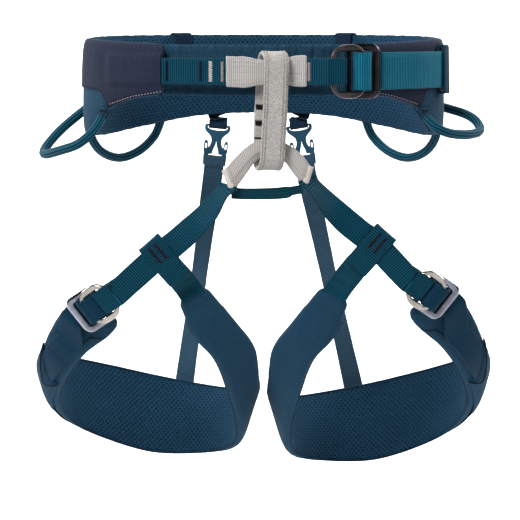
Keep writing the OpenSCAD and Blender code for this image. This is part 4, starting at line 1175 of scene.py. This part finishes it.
def slab(name, outline, half_thick, origin, u, w, body, nodes, mirror, holes=(), bevel=0.45):
    """Flat moulded part: an outline with holes, extruded and with rounded edges."""
    curve = bpy.data.curves.new(name, "CURVE")
    curve.dimensions = "2D"
    curve.fill_mode = "BOTH"
    for loop in [outline, *holes]:
        spline = curve.splines.new("POLY")
        spline.points.add(len(loop) - 1)
        for point, (x, y) in zip(spline.points, loop):
            point.co = (x, y, 0, 1)
        spline.use_cyclic_u = True
    curve.extrude = half_thick - bevel
    curve.bevel_depth = bevel
    curve.bevel_resolution = 2
    curve.offset = -bevel
    holder = bpy.data.objects.new(name + "_outline", curve)
    scene.collection.objects.link(holder)
    bpy.context.view_layer.update()
    mesh = bpy.data.meshes.new_from_object(holder.evaluated_get(bpy.context.evaluated_depsgraph_get()))
    bpy.data.objects.remove(holder)
    places = flip(placed(vertex_places(mesh), origin, u, w), mirror)
    faces = [list(p.vertices) for p in mesh.polygons]
    if mirror:
        faces = [f[::-1] for f in faces]
    make_object(name, places, faces, None, M["clip"], body, nodes, "clip_plastic", 35)


def arc(cx, cy, r, a0, a1, count=8):
    a = np.radians(np.linspace(a0, a1, count))
    return [(cx + r * math.cos(t), cy + r * math.sin(t)) for t in a]


def mirror_x(points):
    return [(-x, y) for x, y in reversed(points)]


MALE_RIGHT = [(4.6, 0.6), (4.6, 2.5), (5.2, 4.6), (7.0, 6.6), (9.8, 9.0), (11.2, 11.0),
              (11.5, 13.2)] + arc(9.6, 14.1, 1.9, 0, 90, 6)
MALE = MALE_RIGHT + mirror_x(MALE_RIGHT)
MALE_WINDOW_RIGHT = [(0, 10.9), (4, 11.1), (7.2, 11.9), (8.9, 13.0), (8.4, 14.1), (4, 14.1)]
MALE_WINDOW = MALE_WINDOW_RIGHT + mirror_x(MALE_WINDOW_RIGHT)[:-1]
PRONG = [(0.2, 1.4), (4.4, 1.4), (4.8, -1.5), (6.0, -4.0), (8.2, -5.4), (9.6, -6.2), (10.2, -8.0), (10.0, -9.6),
         (9.2, -10.6), (2.9, -10.6), (2.3, -7.5), (0.6, -2.4), (0.2, -1.2)]
PLATE_RIGHT = [(10.1, -20.2), (10.5, -11.4), (10.0, -9.9), (6.1, -9.9), (5.6, -11.4)]
RAIL = ([(10.4, -11.8), (9.9, -9.8), (10.6, -8.4), (10.9, -5.0), (10.7, -0.8)] + arc(9.0, 0.0, 1.7, 10, 150, 6)
        + [(7.1, -1.0), (6.8, -4.0), (6.5, -7.0), (6.2, -9.4), (6.0, -11.8)])
RAIL_WINDOW = [(8.0, -4.4), (8.2, -5.6), (9.4, -5.6), (9.6, -2.2), (9.3, -1.2), (8.2, -1.4)]
STRAP_SLOT = [(-8.6, -14.5), (8.6, -14.5), (8.6, -12.7), (-8.6, -12.7)]
# distance up the clip and towards the back, where the tab goes round the bar of the male half
TAB_TURN = [(17.5, 2.8), (14.1, 2.3), (12.9, 0), (14.1, -2.3), (17.5, -2.1), (23, -0.5)]
TAB_OFF = 6.75


def release_clip(side, at, lean, tab_angle):
    """Male half with two flexible arms, female half with two side rails, and the tab that holds the clip."""
    mirror = side == "right"
    axes = clip_axes(lean)
    slab("clip_male_" + side, MALE, 1.5, at, *axes, "belt", ["rear_clip_male_" + side], mirror, [MALE_WINDOW])
    for arm, outline in (("inner", mirror_x(PRONG)), ("outer", PRONG)):
        word = "%s_%s" % (side, arm)
        slab("clip_arm_" + word, outline, 1.3, at, *axes, "prong_" + word, ["clip_prong_" + word], mirror)
    slab("clip_female_" + side, PLATE_RIGHT + mirror_x(PLATE_RIGHT), 2.4, at, *axes, "belt",
         ["rear_clip_female_" + side], mirror, [STRAP_SLOT], 0.4)
    rails = {"outer": (RAIL, RAIL_WINDOW), "inner": (mirror_x(RAIL), mirror_x(RAIL_WINDOW))}
    for rail, (outline, window) in rails.items():
        slab("clip_rail_%s_%s" % (rail, side), outline, 2.35, at, *axes, "belt", [], mirror, [window], 0.35)
    route = ([waist_point(tab_angle, z, TAB_OFF) for z in (-6, -16, -26)]
             + [at + axes[1] * up + arr(0, back, 0) for up, back in TAB_TURN])
    across = [along_belt(tab_angle)] * 3 + [-axes[0]] * len(TAB_TURN)
    strap("rear_webbing_tab_" + side, route, np.array(across), 16, 1.2, M["tab"], "belt", ["rear_tab_" + side],
          "binding", pitch=1.4, rib=0.12, mirror=mirror)


for side, clip in CLIPS.items():
    release_clip(side, *clip)


# ---------- leg pads ----------
PAD_EDGES = np.array([
    [(-48, -80, -160), (-70, -82, -173)], [(-22, -64, -194), (-57, -76, -203)],
    [(-8, -44, -216), (-40, -62, -225)], [(-5.5, -14, -243), (-29, -36, -256)],
    [(-6.5, 20, -259), (-22, -4, -289)], [(-17, 54, -268), (-26, 30, -314)],
    [(-50, 80, -268), (-54, 62, -326)], [(-97, 88, -260), (-100, 78, -328)],
    [(-141, 74, -248), (-145, 66, -312)], [(-174, 44, -237), (-170, 40, -293)],
    [(-186, 4, -232), (-176, 4, -271)], [(-183, -32, -216), (-167, -30, -246)],
    [(-174, -56, -196), (-150, -54, -222)], [(-163, -70, -181), (-126, -70, -202)],
    [(-155, -78, -170), (-117.5, -78, -189)]], float)
RIGHT_DROP = np.array([0, 1, 1, 3, 5, 7, 7, 7, 6, 3, 0, -3, -5, -7, -8], float)
PAD_STEPS = 12
LEG_OUT, LEG_IN = 6.1, 4.3


class Pad:
    """Smooth surface of one leg pad. Stations are counted as in part.scad, three to a pair of edge points."""

    def __init__(self, drop):
        edges = PAD_EDGES.copy()
        edges[:, :, 2] -= drop[:, None]
        self.top, self.low = smooth(edges[:, 0], PAD_STEPS), smooth(edges[:, 1], PAD_STEPS)
        mid = (self.top + self.low) / 2
        self.n = unit(np.cross(np.gradient(mid, axis=0), self.top - self.low))
        self.k = np.arange(len(mid)) * 3 / PAD_STEPS
        self.s = run_length(mid)
        self.width = np.linalg.norm(self.top - self.low, axis=1)

    def look(self, values, k):
        flat = np.asarray(k, float).ravel()
        out = np.stack([np.interp(flat, self.k, values[:, j]) for j in range(values.shape[1])], axis=1)
        return out.reshape(np.shape(k) + (values.shape[1],))

    def point(self, k, share, off):
        k, share, off = np.broadcast_arrays(*(np.asarray(v, float) for v in (k, share, off)))
        return (self.look(self.top, k) * (1 - share[..., None]) + self.look(self.low, k) * share[..., None]
                + unit(self.look(self.n, k)) * off[..., None])

    def normal(self, k):
        return unit(self.look(self.n, k))

    def along(self, k):
        return np.interp(k, self.k, self.s)

    def wide(self, k):
        return np.interp(k, self.k, self.width)


PAD_PUCKER = {"fabric": 0.32, "lining": 0.28}


def pad_sheet(layer, side, pad, first, last, material, nodes, slot, mirror, seed):
    """One face of a leg pad, wrapped round both edges and closed over its rounded ends."""
    rows = 300
    s = np.linspace(0, pad.s[-1], rows)
    k = np.interp(s, pad.s, pad.k)
    ends = np.minimum(s, s[-1] - s)
    fat = end_round(ends, 5.0)[:, None]
    half = np.maximum(pad.wide(k) / 2 - (1 - end_round(ends, 7.0)) * 7.0, 3.0)
    turn = np.radians(np.linspace(first, last, 45))
    rise, out = bent(np.cos(turn), 2 / 3.0), bent(np.sin(turn), 2 / 3.0)
    size = np.where(out > 0, LEG_OUT, LEG_IN)
    edge_waves = np.where(rise > 0, waves(s, seed, 21)[:, None], waves(s, seed + 1, 24)[:, None])
    bumps = PAD_PUCKER[layer] * (edge_waves * np.cos(turn) ** 2 + 0.4 * waves(s, seed + 2, 70)[:, None])
    share_half = (half / pad.wide(k))[:, None]
    layers = [pad.point(k[:, None], 0.5 - share_half * rise * (1 - depth / 30),
                        ((size - depth) * out + bumps * np.sign(out)) * fat) for depth in (0.0, SHEET)]
    around = run_length(layers[0][rows // 2])
    u = (around - around.mean()) * (half / half[rows // 2])[:, None]
    cloth = shell(*layers, u, s[:, None], mirror=mirror, turn=True)
    obj = make_object("leg_pad_%s_%s" % (layer, side), *cloth, material, "leg_" + side, nodes, slot, 70)
    room = ease((ends - 8) / 10)[:, None] * ease((0.97 - np.abs(rise)) / 0.2)
    settle(obj, np.concatenate([room, 0 * room], axis=1), 3.0, 0.02)
    return obj


LEG_U = unit([-0.68, 0.30, -0.67])
LEG_N = arr(-0.2, -0.93, -0.3)
LEG_N = unit(LEG_N - LEG_U * np.dot(LEG_N, LEG_U))
LEG_W = np.cross(LEG_N, LEG_U)
LEG_TURN = math.radians(9)
LEG_U = LEG_U * math.cos(LEG_TURN) - LEG_W * math.sin(LEG_TURN)
LEG_W = np.cross(LEG_N, LEG_U)
# along each riser: a place on its middle line and the direction across it
RISERS = {
    "left": [((-30.5, -111.5, -78.5), (-4, 15, 12)), ((-33.5, -111.2, -82.5), (-5.3, 17, 10.5)),
             ((-44, -107.7, -97.3), (-12, 13, 11)), ((-60, -105, -113.5), (-14.3, 6.5, 13.4)),
             ((-74, -104, -125.7), (-15, 1, 14.6)), ((-84, -103.5, -133), (-13, 0, 15.5))],
    "right": [((-37, -111.5, -74), (-5, 15, 12)), ((-41, -111.2, -78.8), (-2, 15, 16)),
              ((-51.5, -107.7, -91), (-8, 11, 15)), ((-64.5, -105, -104), (-12, 4, 16)),
              ((-77, -104, -114.5), (-13.5, 1, 16)), ((-90, -103.5, -124.8), (-13.5, 0, 16.2))]}
# distance along the buckle and out of it, where the riser goes over the ring's bar and back under itself
RISER_LOOP = [(-24, 4.6), (-19, 5.9), (-14, 6.3), (-5.5, 6.3), (-3.4, 5.8), (-3.2, 4.8), (-4.8, 4.0),
              (-8.2, 3.5), (-10.4, 2.2), (-11.7, 1.0), (-14, 0.85), (-20, 0.85), (-27, 2.0)]
BRANCH = unit([0.65, 0, -0.76])
BRANCH_ACROSS = arr(0.75, 0, 0.66)
# distance along the branch and to the front of the riser's middle, where it is folded round the riser
BRANCH_FOLD = [(25, 0.6), (17, 1.4), (11, 2.1), (0, 2.1), (-10.5, 2.1), (-13.6, 0), (-10.5, -2.1), (0, -2.1),
               (11, -2.1), (18, -2.4), (24, -5)]
# distance down the clip and towards the back, where the elastic goes round the bar of the female half
ELASTIC_TURN = [(28, 2.2), (20, 3.9), (15.2, 3.8), (13.3, 3.6), (12.4, 2.5), (12.4, -2.5), (13.3, -3.6),
                (15.2, -3.8), (20, -3.9)]
LEGS = {
    "left": dict(pad=Pad(RIGHT_DROP * 0), at=arr(-134.5, -95.5, -174), fold=arr(-84, -103.5, -133),
                 station=19.5),
    "right": dict(pad=Pad(RIGHT_DROP), at=arr(-133, -96.5, -163), fold=arr(-90, -103.5, -124.8),
                  station=20.1)}
# height over the pad's middle surface of the end of the branch, both runs of the strap and the elastic
INTO_PAD, LEG_UNDER, LEG_OVER, ELASTIC_OFF = 3.95, 7.6, 9.5, 8.1
POCKET_FOOT = 24
DARK_SEAMS = ((38.0, 38.6, 0.74, 0.985), (32.2, 38.2, 0.80, 0.76), (37.9, 38.4, 0.03, 0.18))


def leg_pad(side, pad, mirror):
    """Outer fabric, lining and binding of a leg pad."""
    stands_for = ["leg_shell_" + side, "leg_foam_" + side, "leg_load_webbing_" + side]
    cloth = pad_sheet("fabric", side, pad, -12, 192, M["pad"], stands_for, "pad_fabric", mirror, 61)
    lining = pad_sheet("lining", side, pad, -168, -12, M["mesh"], ["leg_lining_" + side], "mesh_lining",
                       mirror, 66)
    binding = Batch()
    k = np.linspace(1.6, pad.k[-1] - 1.6, 260)
    for share in (0.012, 0.988):
        path = pad.point(k, share, -2.1 + 0.15 * waves(k * 5, 77, 20))
        add_tube(binding, path, 0.95, 8, ref=pad.normal(k), mirror=mirror)
    binding.build("leg_pad_binding_" + side, M["binding"], "leg_" + side, "binding",
                  ["leg_edge_binding_" + side])


def leg_pocket(side, pad, mirror):
    """Flat pocket over the end of the strap. Its piped mouth runs slantwise between the pad's edges."""
    share = np.linspace(0.02, 0.98, 25)
    mouth = smooth([34.0, 32.4, 31.6, 32.6], 8)
    t = np.linspace(0, 1, 60)[:, None]
    k = POCKET_FOOT + (mouth - POCKET_FOOT) * t
    raised = ease((k - POCKET_FOOT) / 3)
    low = LEG_OUT * crown(2 * share - 1, 3.0) + 0.35
    high = 9.6 * crown(2 * share - 1, 2.8) + 0.3
    off = low * (1 - raised) + high * raised + 0.35 * waves(pad.along(k) + share * 30, 71, 40)
    outer = pad.point(k, share, off + 0.8 + 0.35 * bell(t, 1, 0.012))
    under = pad.point(k, share, off)
    cloth = shell(outer, under, share * pad.wide(k), pad.along(k), mirror=mirror, turn=True)
    piping = Batch()
    add_tube(piping, outer[-1] + pad.normal(mouth) * 0.1, 0.5, 8, ref=pad.normal(mouth), mirror=mirror)
    name = "leg_strap_pocket_" + side
    piping.build(name + "_piping", M["dark_thread"], "leg_" + side, "binding")
    make_object(name, *cloth, M["pad"], "leg_" + side, ["leg_pocket_" + side], "pad_fabric", 60)


def leg_seams(side, pad, mirror):
    """Dark seams on the outside of a leg pad near its outer end."""
    seams = Batch()
    for k0, k1, share0, share1 in DARK_SEAMS:
        k, share = np.linspace(k0, k1, 60), np.linspace(share0, share1, 60)
        path = pad.point(k, share, LEG_OUT * crown(2 * share - 1, 3.0) + 0.25)
        add_tube(seams, path, 0.35, 6, ref=pad.normal(k), mirror=mirror)
    seams.build("leg_pad_seams_" + side, M["dark_thread"], "leg_" + side, "binding")


def at_leg(at, u, n):
    return at + LEG_U * u + LEG_N * n


def leg_webbing(side, pad, at, fold, mirror):
    """Riser, branch and adjustment strap of a leg loop. Returns the frames of the first two."""
    body = "leg_" + side
    places, widths = zip(*[(arr(*place), arr(*across)) for place, across in RISERS[side]])
    inside = 1.7 * places[0] - 0.7 * places[1] + arr(0, 1.6, 0)
    route = [inside, *places] + [at_leg(at, u, n) for u, n in RISER_LOOP]
    across = [widths[0], *widths] + [-LEG_W * 20] * len(RISER_LOOP)
    _, riser = strap("leg_riser_webbing_" + side, route, np.array(across), 21, 1.6, M["webbing"], body,
                     ["leg_riser_" + side], "webbing", pitch=1.95, rib=0.26, mirror=mirror, drift=0.12, seed=9)

    first, second = pad.point(0, 0.5, INTO_PAD), pad.point(1, 0.5, INTO_PAD)
    route = ([fold + BRANCH * along + FORWARD * front for along, front in BRANCH_FOLD]
             + [first * 1.7 - second * 0.7, first, second])
    inner = [unit(pad.point(k, 0, 0) - pad.point(k, 1, 0)) for k in (0, 0, 1)]
    across = [BRANCH_ACROSS] * len(BRANCH_FOLD) + inner
    _, branch = strap("leg_branch_webbing_" + side, route, np.array(across), 21, 1.4, M["webbing"], body,
                      ["leg_branch_" + side], "webbing", pitch=1.65, rib=0.2, mirror=mirror, seed=13)

    loop = buckle_strap(23.5, -0.7)
    under, over = range(30, 38), (37, 36, 35)
    route = ([pad.point(k, 0.5, LEG_UNDER) for k in under] + [at_leg(at, u, n) for u, n in loop]
             + [pad.point(k, 0.5, LEG_OVER) for k in over])
    square = {k: unit(pad.point(k, 1, 0) - pad.point(k, 0, 0)) for k in under}
    across = [square[k] for k in under] + [LEG_W] * len(loop) + [square[k] for k in over]
    strap("leg_adjust_strap_" + side, route, np.array(across), 21, 1.5, M["strap_web"], body,
          ["leg_strap_" + side], "webbing", pitch=1.1, rib=0.1, mirror=mirror, step=0.55, seed=17)

    return riser, branch


def leg_buckle(side, at, mirror):
    buckle_ring("leg_buckle_oval_" + side, 21, 28, at, LEG_U, LEG_W, M["light_metal"], "leg_" + side,
                "leg_buckle_ring_" + side, "light_metal", mirror)
    buckle_frame("leg_buckle_plate_" + side, 21, 23.5, at, LEG_U, LEG_W, M["gun_metal"], "leg_frame_" + side,
                 "leg_buckle_frame_" + side, "light_metal", mirror)


def leg_bartacks(side, at, fold, riser, branch, mirror):
    """Bartacks at both ends of the riser and where the branch is folded round it."""
    tacks = Batch()
    tack(tacks, riser, near(riser, RISERS[side][1][0]), 14, 2.2, 1.8, mirror=mirror)
    tack(tacks, riser, near(riser, at_leg(at, -21, 5.6)), 15, 2.6, 1.8, mirror=mirror)
    c, _, t, w, n = branch
    k = int(np.argmin(np.linalg.norm(c - (fold + FORWARD * 2.1), axis=1)))
    face = n[k] * (1 if np.dot(n[k], FORWARD) > 0 else -1)
    for shift in (-3.0, 3.0):
        bartack(tacks, c[k] + face * 0.85 + w[k] * shift + t[k] * 1.5, t[k], w[k], face, 15, 2.6, mirror=mirror)
    tacks.build("leg_bartacks_" + side, M["purple_thread"], "leg_" + side, "webbing")


def rear_elastic(side, pad, station, mirror):
    """Elastic strap from the clip down to a station of the leg pad."""
    clip_at, lean, _ = CLIPS[side]
    straight, up = clip_axes(lean)
    foot, end = pad.point(station, 0.1, ELASTIC_OFF), pad.point(station, 0.5, ELASTIC_OFF)
    top = clip_at - up * 28 + arr(0, -0.6, 0)
    turn = [clip_at - up * down + arr(0, back, 0) for down, back in ELASTIC_TURN]
    hang = [(top * (4 - k) + foot * k) / 4 + arr(0, 1.5, 0) for k in (1, 2, 3)]
    route = turn + [top] + hang + [foot, (foot + end) / 2, end]
    at_pad = unit(pad.point(station + 0.5, 0.5, 0) - pad.point(station - 0.5, 0.5, 0))
    twist = [unit(straight + arr(0, 0.75 * math.sin(math.pi * k / 4), 0)) for k in (1, 2, 3)]
    across = [straight] * len(turn + [top]) + twist + [at_pad] * 3
    elastic, _ = strap("rear_elastic_strap_" + side, route, np.array(across), 17.5, 1.3, M["elastic"], None,
                       ["rear_elastic_" + side], "elastic", pitch=1.3, rib=0.08, mirror=mirror, step=1.3)
    tuple(flip(clip_at - up * 30, mirror) * MM)
    tuple(flip(foot, mirror) * MM)
    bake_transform(elastic)


for side, leg in LEGS.items():
    mirror = side == "right"
    leg_pad(side, leg["pad"], mirror)
    leg_pocket(side, leg["pad"], mirror)
    leg_seams(side, leg["pad"], mirror)
    riser, branch = leg_webbing(side, leg["pad"], leg["at"], leg["fold"], mirror)
    leg_buckle(side, leg["at"], mirror)
    leg_bartacks(side, leg["at"], leg["fold"], riser, branch, mirror)
    rear_elastic(side, leg["pad"], leg["station"], mirror)


# ---------- floor and light ----------
def sweep(name, low, near, far, high, radius, half_width):
    """Pale floor that curves up into a backdrop."""
    turn = np.radians(np.linspace(0, 90, 13))
    bend = [[far - radius + radius * math.sin(a), low + radius - radius * math.cos(a)] for a in turn]
    line = np.vstack([[near, low], bend, [far, high]])
    across = np.linspace(-half_width, half_width, 9)
    verts = [(x, y, z) for y, z in line for x in across]
    faces = [(i * 9 + j, i * 9 + j + 1, (i + 1) * 9 + j + 1, (i + 1) * 9 + j)
             for i in range(len(line) - 1) for j in range(8)]
    mesh = bpy.data.meshes.new(name)
    mesh.from_pydata(verts, [], faces)
    mesh.shade_smooth()
    obj = bpy.data.objects.new(name, mesh)
    scene.collection.objects.link(obj)
    shader = Shader(name + "_paper", 0.9)
    pale, paler = rgb(0.88, 0.88, 0.88), rgb(0.90, 0.90, 0.90)
    shader.finish(shader.ramp(shader.noise(0.5, 1.0), (0.0, pale), (1.0, paler)))
    mesh.materials.append(shader.mat)


sweep("floor", -0.9, -6.0, 3.2, 4.0, 1.2, 7.0)

world = bpy.data.worlds.new("studio")
scene.world = world
world.use_nodes = True
world.node_tree.nodes["Background"].inputs["Color"].default_value = (1, 1, 1, 1)
world.node_tree.nodes["Background"].inputs["Strength"].default_value = 0.09


def area_light(name, location, target, size, power):
    light = bpy.data.objects.new(name, bpy.data.lights.new(name, "AREA"))
    light.data.shape = "DISK"
    light.data.size = size
    light.data.energy = power
    scene.collection.objects.link(light)
    look_at(light, location, target)


area_light("key", (-0.8, -1.5, 1.3), (0, 0, -0.1), 0.8, 56)
area_light("fill", (1.6, -1.5, 0.2), (0, 0, -0.15), 1.2, 6)
area_light("top", (0.1, 0.3, 1.9), (0, 0, -0.1), 1.0, 16)
area_light("backdrop_left", (-2.2, 0.9, 1.2), (-0.6, 3.2, -0.2), 1.5, 165)
area_light("backdrop_right", (2.2, 0.9, 1.2), (0.6, 3.2, -0.2), 1.5, 165)
